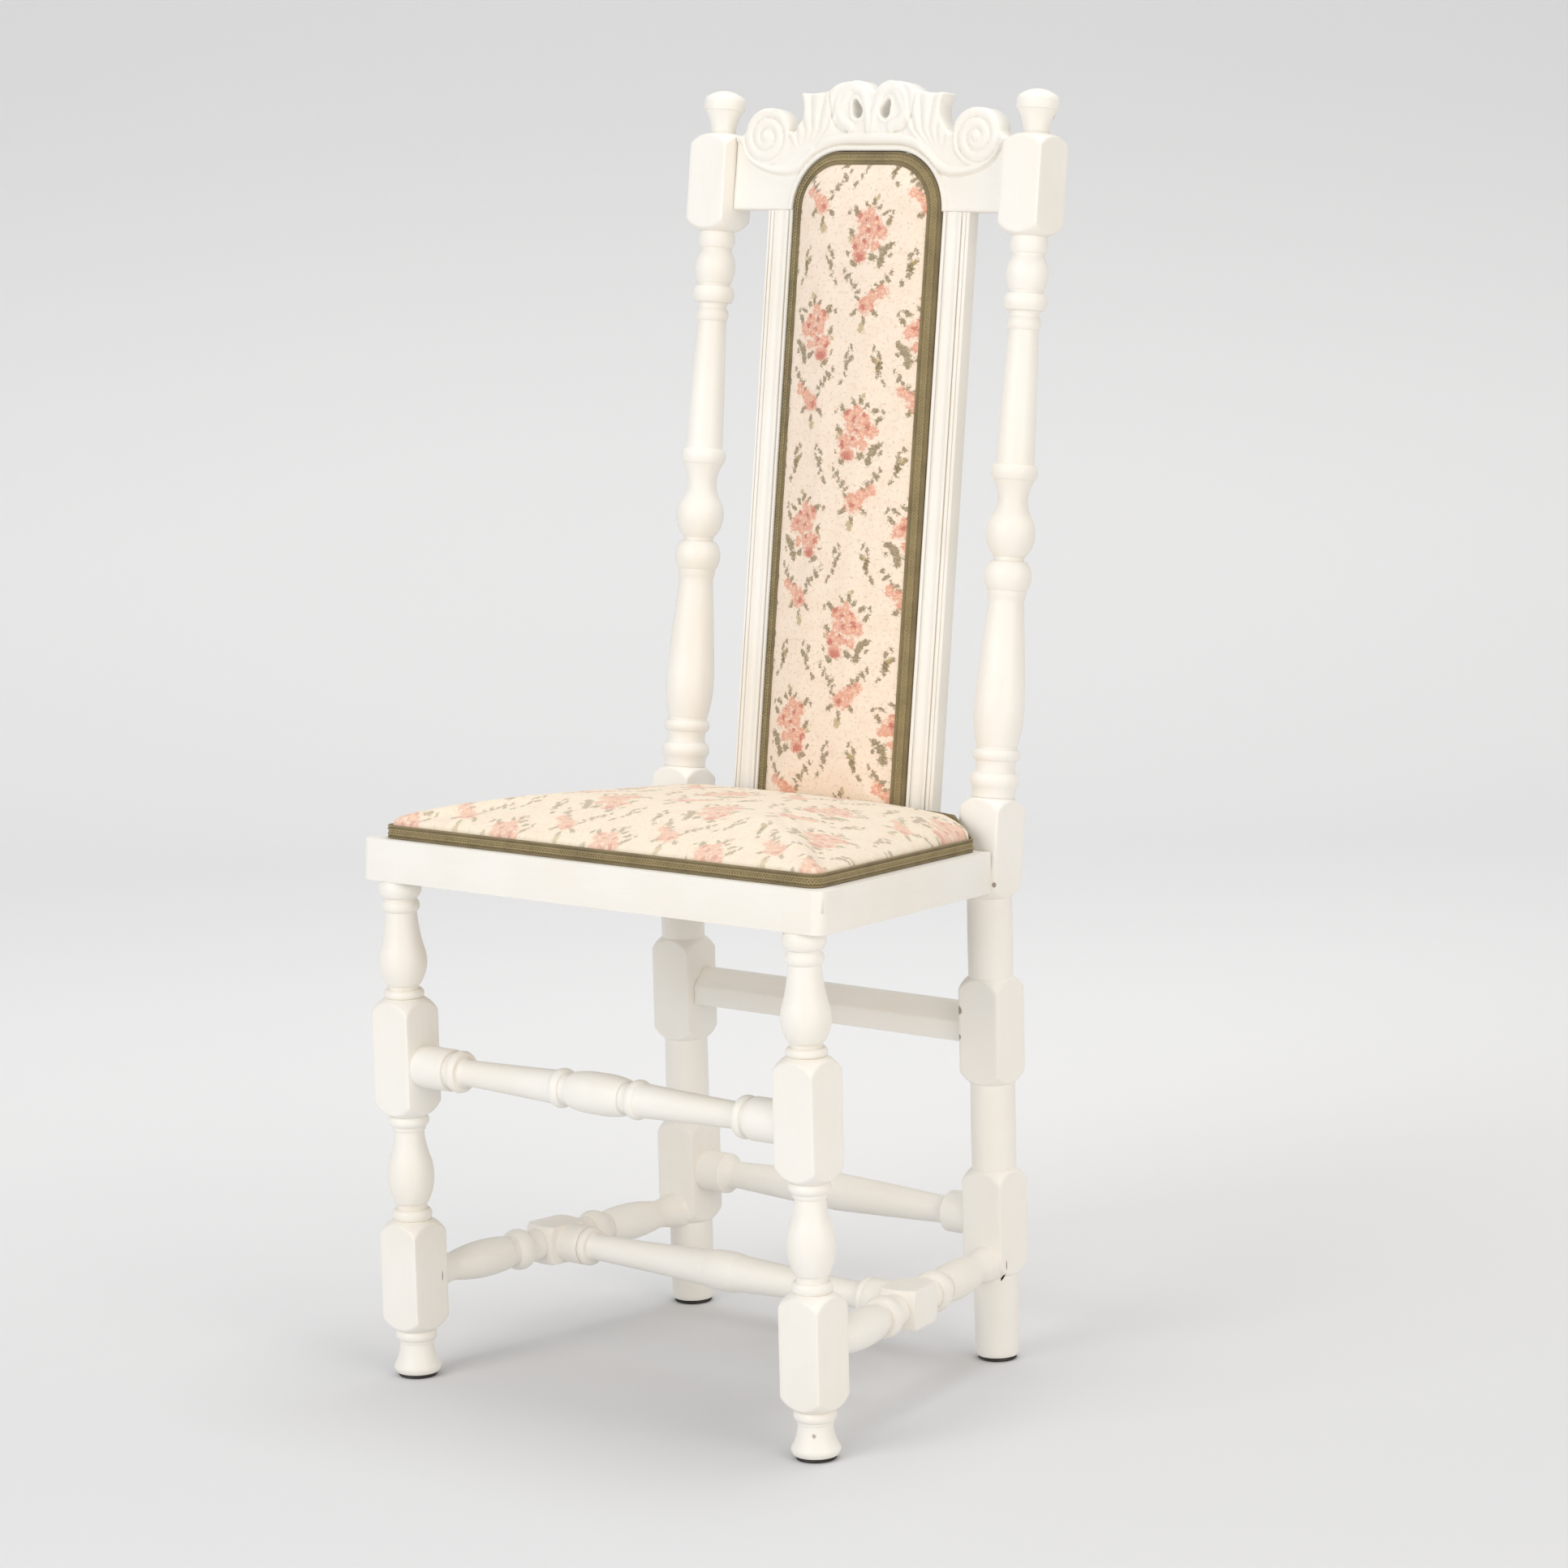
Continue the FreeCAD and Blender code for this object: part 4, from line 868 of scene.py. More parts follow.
seat = {
    "frontSetback": 3.0,
    "sideOverhang": 11.0,
    "rearInset": 4.0,
    "edgeInset": 12.0,
    "rearReach": 7.5,
    "postClear": 2.0,
    "cornerPitch": 0.35,
    "edgeHeight": 12.5,
    "rearRise": 11.0,          # the edge climbs by this much beside and behind the posts
    "braidRise": 18.0,         # and the braid on it by this much
    "crown": 27.0,
    "cornerRound": 11.0,
    "rearRound": 6.0,
    "riseFrom": 34.0,          # this climb starts and ends so far in front of the posts' faces
    "riseTo": 14.0,
    "webbing": 1.2,            # height of each layer of straps
    "hessian": 1.0,
    "heldBelow": 1.0,          # the cover is held up to here below the pad's edge
    "freeAbove": 5.0,          # and free from here above it
    "calm": 0.6,               # less free by this share near the posts
    "calmFrom": 30.0,
    "calmTo": 5.0,
    "voxel": 4.6,
    "pressure": 4.0,
    "most": 7.0,               # a point of the cover moves no further than this when it is filled
}
frameFront = legY - half + seat["frontSetback"]
frameHalfFront = legX + half + seat["sideOverhang"]
frameHalfRear = postX + half - seat["rearInset"]
frameSlope = (frameHalfFront - frameHalfRear) / (postFront - frameFront)


def frameEdge(y, inset=0.0):
    return frameHalfFront - frameSlope * (y - frameFront) - inset * math.hypot(1, frameSlope)


# Rails and blocks keep the frame's own shape, with their edges eased as brushed paint leaves them
railEase = {"width": 1.8, "segments": 3, "angle": 30.0, "sharp": 35.0, "outerBand": 3.2, "level": 0.4}


def isOuter(point):
    # On the top or bottom edge of the seat frame's outside; its corners are rounded, so a band is allowed
    x, y, z = (values[0] for values in fromSeat(np.array([point]) / mm))
    level = z - chair["seatBase"]
    gap = min(frameEdge(y) - abs(x), y - frameFront)
    return gap < railEase["outerBand"] and min(abs(level), abs(level - chair["railHeight"])) < railEase["level"]


def easedCopy(name, node, material, outerOnly=False):
    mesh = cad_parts[node].data.copy()
    work = bmesh.new()
    work.from_mesh(mesh)
    bmesh.ops.remove_doubles(work, verts=work.verts, dist=0.00001)
    bmesh.ops.dissolve_limit(work, angle_limit=math.radians(1.0), verts=work.verts, edges=work.edges)
    weights = work.edges.layers.float.new("bevel_weight_edge")
    for edge in work.edges:
        if edge.is_manifold and edge.calc_face_angle() > math.radians(railEase["angle"]):
            edge[weights] = float(not outerOnly or all(isOuter(vert.co) for vert in edge.verts))
    work.to_mesh(mesh)
    work.free()
    mesh.materials.clear()
    mesh.materials.append(material)
    mesh.name = name
    piece = linked(name, mesh)
    bevel = piece.modifiers.new("ease", "BEVEL")
    bevel.width = railEase["width"] * mm
    bevel.segments = railEase["segments"]
    bevel.limit_method = "WEIGHT"
    bevel.use_clamp_overlap = True
    withModifiers(piece)
    piece.data.shade_smooth()
    piece.data.set_sharp_from_angle(angle=math.radians(railEase["sharp"]))
    markShadeAndWear(piece, 1)
    return dressed(piece, node)


for node in ("front_seat_rail", "side_seat_rail_right", "side_seat_rail_left", "rear_seat_rail"):
    easedCopy(node + "_eased", node, paintFrame, outerOnly=True)
easedCopy("back_upper_rail_eased", "back_upper_rail", paintAcross)
for side in ("left", "right"):
    block = easedCopy("cornerBlock_" + side, "corner_block_" + side, beech)
print("rails eased")

# The back's uprights: their front is a run of fillets, a hollow and beads, as (x from the panel, depth)
panel = {
    "halfWidth": 84.5,
    "arch": 54.0,
    "footRise": 7.0,
    "rebateDepth": 4.0,
    "boardFront": -6.5,
    "boardBack": 10.5,
    "crestBase": 1028.0,
    "canvas": 1.0,
    "stileSteps": 92,
}
frameRearTop = frameTop - (postY - legY) * tiltSin
panelBase = upRake(frameRearTop + panel["footRise"])
crestFoot = upRake(panel["crestBase"])
canvasFront = panel["boardFront"] + panel["rebateDepth"] - panel["canvas"]


def roundOver(cx, cy, radius, first, last, count):
    return [(cx + radius * math.cos(math.radians(first + (last - first) * k / count)),
             cy - radius * math.sin(math.radians(first + (last - first) * k / count))) for k in range(count + 1)]


def stileMoulding():
    # x from the panel's edge outwards, y as depth behind the face (0 is the face)
    line = [(-9.0, 4.0), (-0.3, 4.0), (0.3, 4.0), (0.3, 2.2)]
    line += roundOver(2.6, 2.4, 2.3, 180, 0, 8)
    line += [(5.1, 2.6), (5.9, 2.6), (5.9, 0.5), (6.5, 0.1), (8.8, 0.1), (9.3, 0.6)]
    line += [(9.3 + 9.4 * k / 8, 0.6 + 2.0 * math.sin(math.pi * k / 8) ** 0.8) for k in range(1, 9)]
    line += [(19.2, 0.1), (21.2, 0.1), (21.6, 0.5), (21.6, 2.0), (22.5, 2.0)]
    line += roundOver(24.6, 1.9, 2.0, 180, 0, 8)
    line += [(26.8, 2.0), (27.3, 2.0), (27.3, 1.0), (29.2, 1.0), (30.0, 1.8)]
    line += [(30.0, 15.2), (29.2, 16.0), (-8.4, 16.0), (-9.0, 15.4)]
    return line


def footAt(y):
    # Height up the rake where a line at this depth meets the top of the tilted seat frame
    start, end = fromSeat(raked([(0, y, 0), (0, y, 1)]))[2]
    return (frameTop - start) / (end - start)


def stile(word, side):
    line = stileMoulding()
    x = np.array([panel["halfWidth"] + p[0] for p in line])
    y = np.array([panel["boardFront"] + p[1] for p in line])
    # the foot follows the sloping top of the rear seat rail
    foot = np.array([footAt(value) for value in y])
    steps = panel["stileSteps"]
    rows = [np.column_stack((side * x, y, foot + (crestFoot - foot) * k / steps)) for k in range(steps + 1)]
    count = len(line)
    faces = quads(steps + 1, count)
    faces += [tuple(range(count)), tuple(steps * count + k for k in range(count))]
    return markShadeAndWear(addPiece("panelStile_" + word, raked(np.concatenate(rows)), faces, paintUp), 1)


for word, side in bothSides:
    dressed(stile(word, side), "panel_stile_" + word)
print("uprights moulded")


# The crest's outline, pierced drops and carved front are measured from its middle and its lower edge
crest = {
    "halfWidth": postInner,
    "fit": 0.3,
    "step": 1.3,               # along its outline
    "grid": 1.35,
    "rims": (0.55, -0.55, 1.3, -1.3),     # lines of points along the outline, on both sides
    "rimClear": 0.45,          # no point on them is nearer to the outline than this
    "gridClear": 1.9,          # and none of the grid than this
    "edgeRound": 2.2,
    "backRound": 1.2,
    "volute": (126.0, 67.0, 26.0),        # middle and radius
    "voluteTurns": 2.1,
    "voluteCore": 5.0,
    "eye": 5.4,
    "leafRoot": (70.0, 44.0),
    "ground": 2.4,                        # height of the raised ground
    "most": 6.5,                          # and of the carving at the most
    "lowerLine": (                        # the board is plain below this line
        (0, 60.5), (30, 60.5), (52, 55), (66, 43), (82, 34.5), (100, 31.8), (122, 35), (140, 42), (150, 52),
        (153.5, 62),
    ),
    "scrollLine": (                       # from the volute down and in under the leaves
        (151, 66), (147, 50), (136, 41), (118, 36.5), (100, 36.2), (84, 39), (70, 47.5), (60, 57), (50, 62.5),
        (34, 65.5), (14, 66), (0, 66),
    ),
    "lobeLine": ((2, 74), (6, 92), (13, 107), (28, 111.5), (40, 106), (44, 94), (38, 82), (26, 76)),
    "cutLine": ((56, 108), (53, 96), (50, 84), (42, 74), (30, 71)),      # between the lobe and the leaf
    "drop": (18.0, 90.0, 6.2, 26.0),      # middle, half width and turn of each pierced drop
    "dropTip": 11.5,
    "dropSides": 28,
    "drawnIn": ((0, 30, 60, 88, 126, 152, 156.5), (0, 26, 53.5, 80.5, 119.5, 145.5, 156.5)),   # from x, to x
    "drawnAbove": (58.0, 75.0),           # from none at this height to all at that one
    "drawnBeside": (84.0, 104.0),         # and beside the arch between these x
    "drawnFoot": (12.0, 40.0),            # and these heights
    "topMiddle": 108.6,
    "outline": (                          # to x, z through the middle x, z; right half from the top centre
        (4.0, 110.5, None), (28.5, 117.0, (14.0, 116.6)), (53.0, 110.0, (43.0, 115.2)), (60.0, 107.6, None),
        (86.5, 106.8, (73.0, 106.4)), (88.2, 105.2, None), (91.0, 76.0, (84.6, 90.0)), (94.6, 69.5, None),
        (100.2, 72.0, None), (126.0, 93.2, (108.0, 87.4)), (150.6, 73.0, (145.2, 85.0)), (153.4, 67.2, None),
        (156.5, 67.0, None),
    ),
}


def throughPoints(start, end, middle, step=crest["step"]):
    if middle is None:
        count = max(1, round(math.dist(start, end) / step))
        return [(start[0] + (end[0] - start[0]) * k / count, start[1] + (end[1] - start[1]) * k / count)
                for k in range(count)]
    return arcBetween(start, middle, end, step)


def crestOutline():
    here = (0.0, crest["topMiddle"])
    top = []
    for x, z, middle in crest["outline"]:
        top += throughPoints(here, (x, z), middle)
        here = (x, z)
    edge, arch = panel["halfWidth"] + crest["fit"], panel["arch"] + crest["fit"]
    corner = edge - arch
    bend = arch * math.sqrt(0.5)
    right = top + throughPoints(here, (crest["halfWidth"], 0.0), None)
    right += throughPoints((crest["halfWidth"], 0.0), (edge, 0.0), None)
    right += arcBetween((edge, 0.0), (corner + bend, bend), (corner, arch), crest["step"])
    right += throughPoints((corner, arch), (0.0, arch), None)
    right.append((0.0, arch))
    left = [(-x, z) for x, z in reversed(right[1:-1])]
    return np.array(right + left)


def dropOutline(side):
    cx, cz, width, turn = crest["drop"]
    lean = math.radians(turn)
    points = []
    for k in range(crest["dropSides"]):
        angle = 2 * math.pi * k / crest["dropSides"]
        radius = width * (1 + (crest["dropTip"] / width - 1) * max(0.0, math.sin(angle)) ** 5)
        x, z = radius * math.cos(angle) * (1 - 0.15 * max(0.0, math.sin(angle))), radius * math.sin(angle)
        points.append((side * (cx + x * math.cos(lean) + z * math.sin(lean)),
                       cz - x * math.sin(lean) + z * math.cos(lean)))
    return np.array(points)


def insideOf(loop, points):
    x, z = points[:, 0], points[:, 1]
    inside = np.zeros(len(points), bool)
    a, b = loop, np.roll(loop, -1, axis=0)
    for (x1, z1), (x2, z2) in zip(a, b):
        if z1 == z2:
            continue
        crosses = ((z1 > z) != (z2 > z)) & (x < (x2 - x1) * (z - z1) / (z2 - z1) + x1)
        inside ^= crosses
    return inside


def distanceTo(line, points, closed=True):
    best = np.full(len(points), 1e9)
    ends = np.roll(line, -1, axis=0) if closed else line[1:]
    for a, b in zip(line, ends):
        run = b - a
        size = run @ run
        share = np.clip(((points - a) @ run) / max(size, 1e-9), 0, 1)
        best = np.minimum(best, np.linalg.norm(points - a - share[:, None] * run, axis=1))
    return best


def easeStep(value, low, high):
    t = np.clip((value - low) / (high - low), 0, 1)
    return t * t * (3 - 2 * t)


def ridge(distance, width):
    # A rounded bead of this half width
    return np.sqrt(np.clip(1 - (distance / width) ** 2, 0, 1))


def curvePoints(controls, count=60):
    # A smooth line through the controls
    p = np.array(controls, float)
    p = np.vstack((2 * p[0] - p[1], p, 2 * p[-1] - p[-2]))
    out = []
    for k in range(1, len(p) - 2):
        for t in np.linspace(0, 1, max(2, count // (len(p) - 3)), endpoint=False):
            out.append(0.5 * ((2 * p[k]) + (p[k + 1] - p[k - 1]) * t
                              + (2 * p[k - 1] - 5 * p[k] + 4 * p[k + 1] - p[k + 2]) * t * t
                              + (3 * p[k] - p[k - 1] - 3 * p[k + 1] + p[k + 2]) * t ** 3))
    out.append(p[-2])
    return np.array(out)


def carving(u, v, dropRim):
    # Height of the carving over the plain board, the same on both halves; dropRim is how far the nearest drop is
    points = np.column_stack((np.abs(u), v))
    x, z = points.T

    def bead(line, width):
        # A bead or a cut along one of the crest's lines
        return ridge(distanceTo(curvePoints(crest[line]), points, False), width)

    lower = curvePoints(crest["lowerLine"])
    under = np.interp(x, lower[:, 0], lower[:, 1])
    raisedPart = easeStep(z - under, -0.6, 1.6)
    height = raisedPart * (crest["ground"] + 1.7 * bead("scrollLine", 4.2))
    # the volute: a raised rim that winds in to an eye
    cx, cz, radius = crest["volute"]
    core = crest["voluteCore"]
    dx, dz = x - cx, z - cz
    rho = np.hypot(dx, dz)
    angle = np.arctan2(dz, dx)
    pitch = (radius - core) / crest["voluteTurns"]
    wound = (rho - core) / pitch - angle / (2 * math.pi)
    groove = np.abs((wound + 0.5) % 1.0 - 0.5) * pitch
    spiral = 2.2 + 2.2 * ridge(pitch / 2 - groove, pitch / 2)
    eye = 3.0 + 2.6 * ridge(rho, crest["eye"])
    volute = np.where(rho < crest["eye"], eye, spiral - 0.9 * (1 - ridge(rho, radius)))
    volutePart = easeStep(radius + 0.5 - rho, 0.0, 1.4) * easeStep(z - under, -1.0, 1.0)
    height = height * (1 - volutePart) + volute * volutePart
    # leaf: flutes that fan from its root up to the crisp corner
    rx, rz = crest["leafRoot"]
    fan = np.degrees(np.arctan2(x - rx, z - rz))
    leafReach = np.hypot(x - rx, z - rz)
    leafPart = (easeStep(fan, -40, -30) * easeStep(52 - fan, 0, 8) * easeStep(leafReach, 10, 18)
                * (1 - volutePart) * easeStep(z - under, 3, 7))
    flute = np.abs(np.sin(np.radians((fan + 40) * 180 / 15.5)))
    leaf = 2.2 + 2.2 * flute ** 0.7 * easeStep(leafReach, 12, 40)
    height = height * (1 - leafPart) + np.maximum(height * 0.4, leaf) * leafPart
    # lobes over the drops, rims round the drops, and a thin line cut between lobe and leaf
    lobePart = 1 - easeStep(x, 46, 54)
    height = np.maximum(height, raisedPart * lobePart * (2.2 + 2.2 * bead("lobeLine", 5.0)))
    height = np.maximum(height, raisedPart * (2.0 + 1.8 * ridge(np.abs(dropRim - 2.0), 2.6)))
    height -= 1.6 * raisedPart * bead("cutLine", 1.5)
    # border round the arch
    edge, arch = panel["halfWidth"], panel["arch"]
    ax = np.maximum(x - (edge - arch), 0)
    az = np.maximum(z, 0)
    archReach = np.where(x > edge - arch, np.hypot(ax, az), az) - arch
    height = np.maximum(height * easeStep(archReach, 5.2, 6.6), 2.6 * easeStep(5.4 - archReach, 0, 1.0))
    chisel = 0.12 * np.sin(x * 1.9 + 3 * np.sin(z * 0.31)) * np.sin(z * 1.3 + 2 * np.sin(x * 0.23))
    return np.clip(height + chisel * raisedPart, 0, crest["most"])


def carveCrest():
    outer = crestOutline()
    drops = [dropOutline(1), dropOutline(-1)]
    loops = [outer] + drops
    extra = []
    for loop in loops:
        run = np.roll(loop, -1, axis=0) - np.roll(loop, 1, axis=0)
        normal = np.column_stack((run[:, 1], -run[:, 0]))
        normal /= np.linalg.norm(normal, axis=1)[:, None] + 1e-9
        extra += [loop + normal * inset for inset in crest["rims"]]
    low, high = outer.min(0), outer.max(0)
    step = crest["grid"]
    xs = np.arange(low[0], high[0], step)
    zs = np.arange(low[1], high[1], step * 0.87)
    gridPoints = np.array([(x + (step / 2 if k % 2 else 0), z) for k, z in enumerate(zs) for x in xs])

    def solidAt(points):
        return insideOf(outer, points) & ~insideOf(drops[0], points) & ~insideOf(drops[1], points)

    def rimOf(points):
        return np.minimum.reduce([distanceTo(loop, points) for loop in loops])

    extra = np.concatenate(extra)
    extra = extra[solidAt(extra)]
    extra = extra[rimOf(extra) > crest["rimClear"]]
    gridPoints = gridPoints[solidAt(gridPoints)]
    gridPoints = gridPoints[rimOf(gridPoints) > crest["gridClear"]]
    flat = np.concatenate(loops + [extra, gridPoints])
    edges = []
    start = 0
    for loop in loops:
        edges += [(start + k, start + (k + 1) % len(loop)) for k in range(len(loop))]
        start += len(loop)
    verts, _, triangles, _, _, _ = geometry.delaunay_2d_cdt([Vector(p) for p in flat], edges, [], 0, 0.0001)
    flat = np.array([tuple(p) for p in verts])
    triangles = np.array([t for t in triangles if len(t) == 3])
    middles = flat[triangles].mean(1)
    triangles = triangles[solidAt(middles)]
    rim = rimOf(flat)
    dropRim = np.minimum(distanceTo(drops[0], flat), distanceTo(drops[1], flat))
    roundOff = crest["edgeRound"]
    fall = roundOff - np.sqrt(np.clip(roundOff ** 2 - np.clip(roundOff - rim, 0, roundOff) ** 2, 0, None))
    height = carving(flat[:, 0], flat[:, 1], dropRim)
    # the scrolls and leaves stand a little closer together than drawn; the arch below keeps its place
    x, z = flat[:, 0], flat[:, 1]
    beside = easeStep(np.abs(x), *crest["drawnBeside"]) * easeStep(z, *crest["drawnFoot"])
    share = np.maximum(easeStep(z, *crest["drawnAbove"]), beside)
    drawnIn = np.sign(x) * np.interp(np.abs(x), *crest["drawnIn"])
    flat = np.column_stack((x + (drawnIn - x) * share, z))
    front = np.column_stack((flat[:, 0], panel["boardFront"] - height + fall, crestFoot + flat[:, 1]))
    roundOff = crest["backRound"]
    backFall = np.clip(roundOff - rim, 0, roundOff) ** 2 / roundOff
    back = np.column_stack((flat[:, 0], panel["boardBack"] - backFall, crestFoot + flat[:, 1]))
    count = len(flat)
    faces = [tuple(t) for t in triangles] + [tuple(t[::-1] + count) for t in triangles]
    pairs = {}
    for a, b, c in triangles:
        for p, q in ((a, b), (b, c), (c, a)):
            key = (min(p, q), max(p, q))
            pairs[key] = pairs.get(key, 0) + 1
    faces += [(p, q, q + count, p + count) for (p, q), number in pairs.items() if number == 1]
    return markShadeAndWear(addPiece("carvedCrest", raked(np.concatenate((front, back))), faces, paintCarved, 50.0), 1)


dressed(carveCrest(), "crest_rail")
print("crest carved")


padBase = frameTop + 2 * seat["webbing"] + seat["hessian"]


# Outlines of the upholstery are closed loops, counter-clockwise seen from outside the cloth
def roundedLoop(corners, radii, step=3.0):
    loop = []
    count = len(corners)
    for k, (corner, radius) in enumerate(zip(corners, radii)):
        before, after = np.array(corners[k - 1]), np.array(corners[(k + 1) % count])
        here = np.array(corner)
        back, ahead = before - here, after - here
        backWay, aheadWay = back / np.linalg.norm(back), ahead / np.linalg.norm(ahead)
        angle = math.acos(np.clip(backWay @ aheadWay, -1, 1))
        inset = radius / math.tan(angle / 2)
        start, end = here + backWay * inset, here + aheadWay * inset
        middleWay = (backWay + aheadWay) / np.linalg.norm(backWay + aheadWay)
        centre = here + middleWay * radius / math.sin(angle / 2)
        middle = centre - middleWay * radius
        loop += arcBetween(tuple(start), tuple(middle), tuple(end), min(step, radius / 3))
        nextCorner, nextRadius = after, radii[(k + 1) % count]
        beyond = np.array(corners[(k + 2) % count]) - nextCorner
        nextAngle = math.acos(np.clip(-(aheadWay @ beyond) / np.linalg.norm(beyond), -1, 1))
        runEnd = nextCorner - aheadWay * nextRadius / math.tan(nextAngle / 2)
        run = runEnd - end
        pieces = max(1, round(np.linalg.norm(run) / step))
        loop += [tuple(end + run * j / pieces) for j in range(pieces)]
    return np.array(loop)


def seatLoop(inset, step=3.0):
    front = frameFront + seat["edgeInset"] + inset
    rear = postFront + seat["rearReach"] - inset
    total = seat["edgeInset"] + inset
    pitch = seat["cornerPitch"]
    cutY = postFront - seat["postClear"] - inset * math.hypot(1, pitch)
    sideY = cutY - pitch * (frameEdge(cutY, total) - postInner) / (1 - frameSlope * pitch)
    right = [(frameEdge(front, total), front), (frameEdge(sideY, total), sideY),
             (postInner - (rear - cutY) / pitch, rear)]
    corners = right + [(-x, y) for x, y in reversed(right)]
    radii = [max(1.0, r - inset) for r in (seat["cornerRound"], seat["rearRound"], seat["rearRound"])]
    return roundedLoop(corners, radii + radii[::-1], step)


def archLoop(inset, step=3.0):
    edge, arch = panel["halfWidth"] - inset, panel["arch"] - inset
    foot = panelBase + inset
    spring = crestFoot
    bend = arch * math.sqrt(0.5)
    corner = edge - arch
    loop = throughPoints((-edge, foot), (edge, foot), None, step)
    loop += throughPoints((edge, foot), (edge, spring), None, step)
    loop += arcBetween((edge, spring), (corner + bend, spring + bend), (corner, spring + arch), step)
    loop += throughPoints((corner, spring + arch), (-corner, spring + arch), None, step)
    loop += arcBetween((-corner, spring + arch), (-corner - bend, spring + bend), (-edge, spring), step)
    loop += throughPoints((-edge, spring), (-edge, foot), None, step)
    return np.array(loop)


def evenly(loop, count):
    closed = np.vstack((loop, loop[:1]))
    lengths = np.concatenate(([0], np.cumsum(np.linalg.norm(np.diff(closed, axis=0), axis=1))))
    at = np.linspace(0, lengths[-1], count, endpoint=False)
    return np.column_stack([np.interp(at, lengths, closed[:, k]) for k in range(closed.shape[1])])


def clothMap(piece, flatOf):
    # The cloth map in metres, from each point's place on the flat cloth
    mesh = piece.data
    layer = mesh.uv_layers.new(name="cloth")
    flat = flatOf(readOut(mesh.vertices, "co", 3) / mm) * mm
    corners = readOut(mesh.loops, "vertex_index", 1, np.int64)[:, 0]
    layer.data.foreach_set("uv", flat[corners].astype(np.float32).ravel())
    return piece


def onSeat(p):
    return np.column_stack(fromSeat(p)[:2])


def onBack(p):
    return np.column_stack(fromBack(p)[::2])


def layFlat(flat, height):
    return np.column_stack((flat, np.zeros(len(flat)) + height))


def standUp(flat, depth):
    return np.column_stack((flat[:, 0], np.zeros(len(flat)) + depth, flat[:, 1]))


coverCloth = {"quality": 6, "mass": 0.3, "tension_stiffness": 14, "compression_stiffness": 14,
              "bending_stiffness": 0.6, "use_pressure": True, "vertex_group_mass": "held"}
fillSteps = 20


def fillPad(piece, voxel, pressure, most, hold):
    # Remeshes a pad, blows it up a little under its cover where nothing holds it, and smooths the result
    remesh = piece.modifiers.new("voxels", "REMESH")
    remesh.mode = "VOXEL"
    remesh.voxel_size = voxel * mm
    remesh.use_smooth_shade = True
    withModifiers(piece)
    mesh = piece.data
    start = readOut(mesh.vertices, "co", 3)
    group = piece.vertex_groups.new(name="held")
    for index, weight in enumerate(hold(start / mm)):
        if weight > 0.01:
            group.add([index], float(weight), "REPLACE")
    cloth = piece.modifiers.new("cover", "CLOTH")
    for key, value in coverCloth.items():
        setattr(cloth.settings, key, value)
    cloth.settings.uniform_pressure_force = pressure
    cloth.settings.effector_weights.gravity = 0
    cloth.point_cache.frame_start = 1
    cloth.point_cache.frame_end = fillSteps
    for step in range(1, fillSteps + 1):
        bpy.context.scene.frame_set(step)
    graph = bpy.context.evaluated_depsgraph_get()
    move = readOut(piece.evaluated_get(graph).to_mesh().vertices, "co", 3) - start
    piece.modifiers.clear()
    bpy.context.scene.frame_set(1)
    size = np.linalg.norm(move, axis=1)
    move *= (np.minimum(size, most * mm) / np.maximum(size, 1e-9))[:, None]
    mesh.vertices.foreach_set("co", (start + move).ravel())
    print("filled", piece.name, "moved up to", round(float(np.minimum(size, most * mm).max() / mm), 1), "mm")
    smoother = piece.modifiers.new("even", "SMOOTH")
    smoother.factor = 0.5
    smoother.iterations = 3
    finer = piece.modifiers.new("finer", "SUBSURF")
    finer.levels = finer.render_levels = 1
    withModifiers(piece)
    piece.vertex_groups.clear()
    piece.data.shade_smooth()
    return piece


def padShell(name, rings, place, material):
    # Rings of the same number of points, from the base up and in to the crown
    count = len(rings[0])
    faces = quads(len(rings), count) + [tuple(range(count))]
    points = np.concatenate(rings + [[rings[-1].mean(0)]])
    top = (len(rings) - 1) * count
    faces += [(top + k, top + (k + 1) % count, len(points) - 1) for k in range(count)]
    return addPiece(name, place(points), faces, material, 180.0)


gimp = {
    "thickness": 2.4,
    "fit": 0.3,
    "height": 12.4,
    "threadRadius": 0.85,
    "pitch": 9.0,
    "cordPitch": 5.0,
    "step": 1.1,
    "tape": 0.7,               # thickness of the band behind the threads
    "tapeSteps": 500,
    "pathSteps": 600,
}


# The seat pad is crowned and drawn down to the braid along its edges. Beside and behind the posts it stands higher.
def rearShare(loop):
    edge = frameHalfRear - seat["edgeInset"]
    beside = np.clip((edge - np.abs(loop[:, 0])) / (edge - postInner), 0, 1)
    return beside * easeStep(loop[:, 1], postFront - seat["riseFrom"], postFront - seat["riseTo"])


middleY = (frameFront + postFront) / 2
baseLoop = seatLoop(gimp["thickness"] + gimp["fit"])
rearPart = rearShare(baseLoop)
rings = []
edgeRise = frameTop + seat["edgeHeight"] - padBase + rearPart * seat["rearRise"]
crownRise = seat["crown"] - rearPart * seat["rearRise"]
crownPower = 0.80 - 0.20 * easeStep(baseLoop[:, 1], middleY, postFront)
seatProfile = [(0.012, 0.0, 0.0), (0.004, 0.3, 0.0), (0.0, 0.75, 0.0), (0.002, 1.0, 0.05)]
seatProfile += [(1 - math.cos(t), 1.0, math.sin(t)) for t in np.linspace(0.16, 1.45, 14)]
for inset, edgeShare, crownShare in seatProfile:
    height = padBase + edgeShare * edgeRise + crownShare ** crownPower * crownRise
    rings.append(layFlat((baseLoop - (0, middleY)) * (1 - inset) + (0, middleY), height))
seatPad = padShell("seatCushion", rings, tilted, floralSeat)


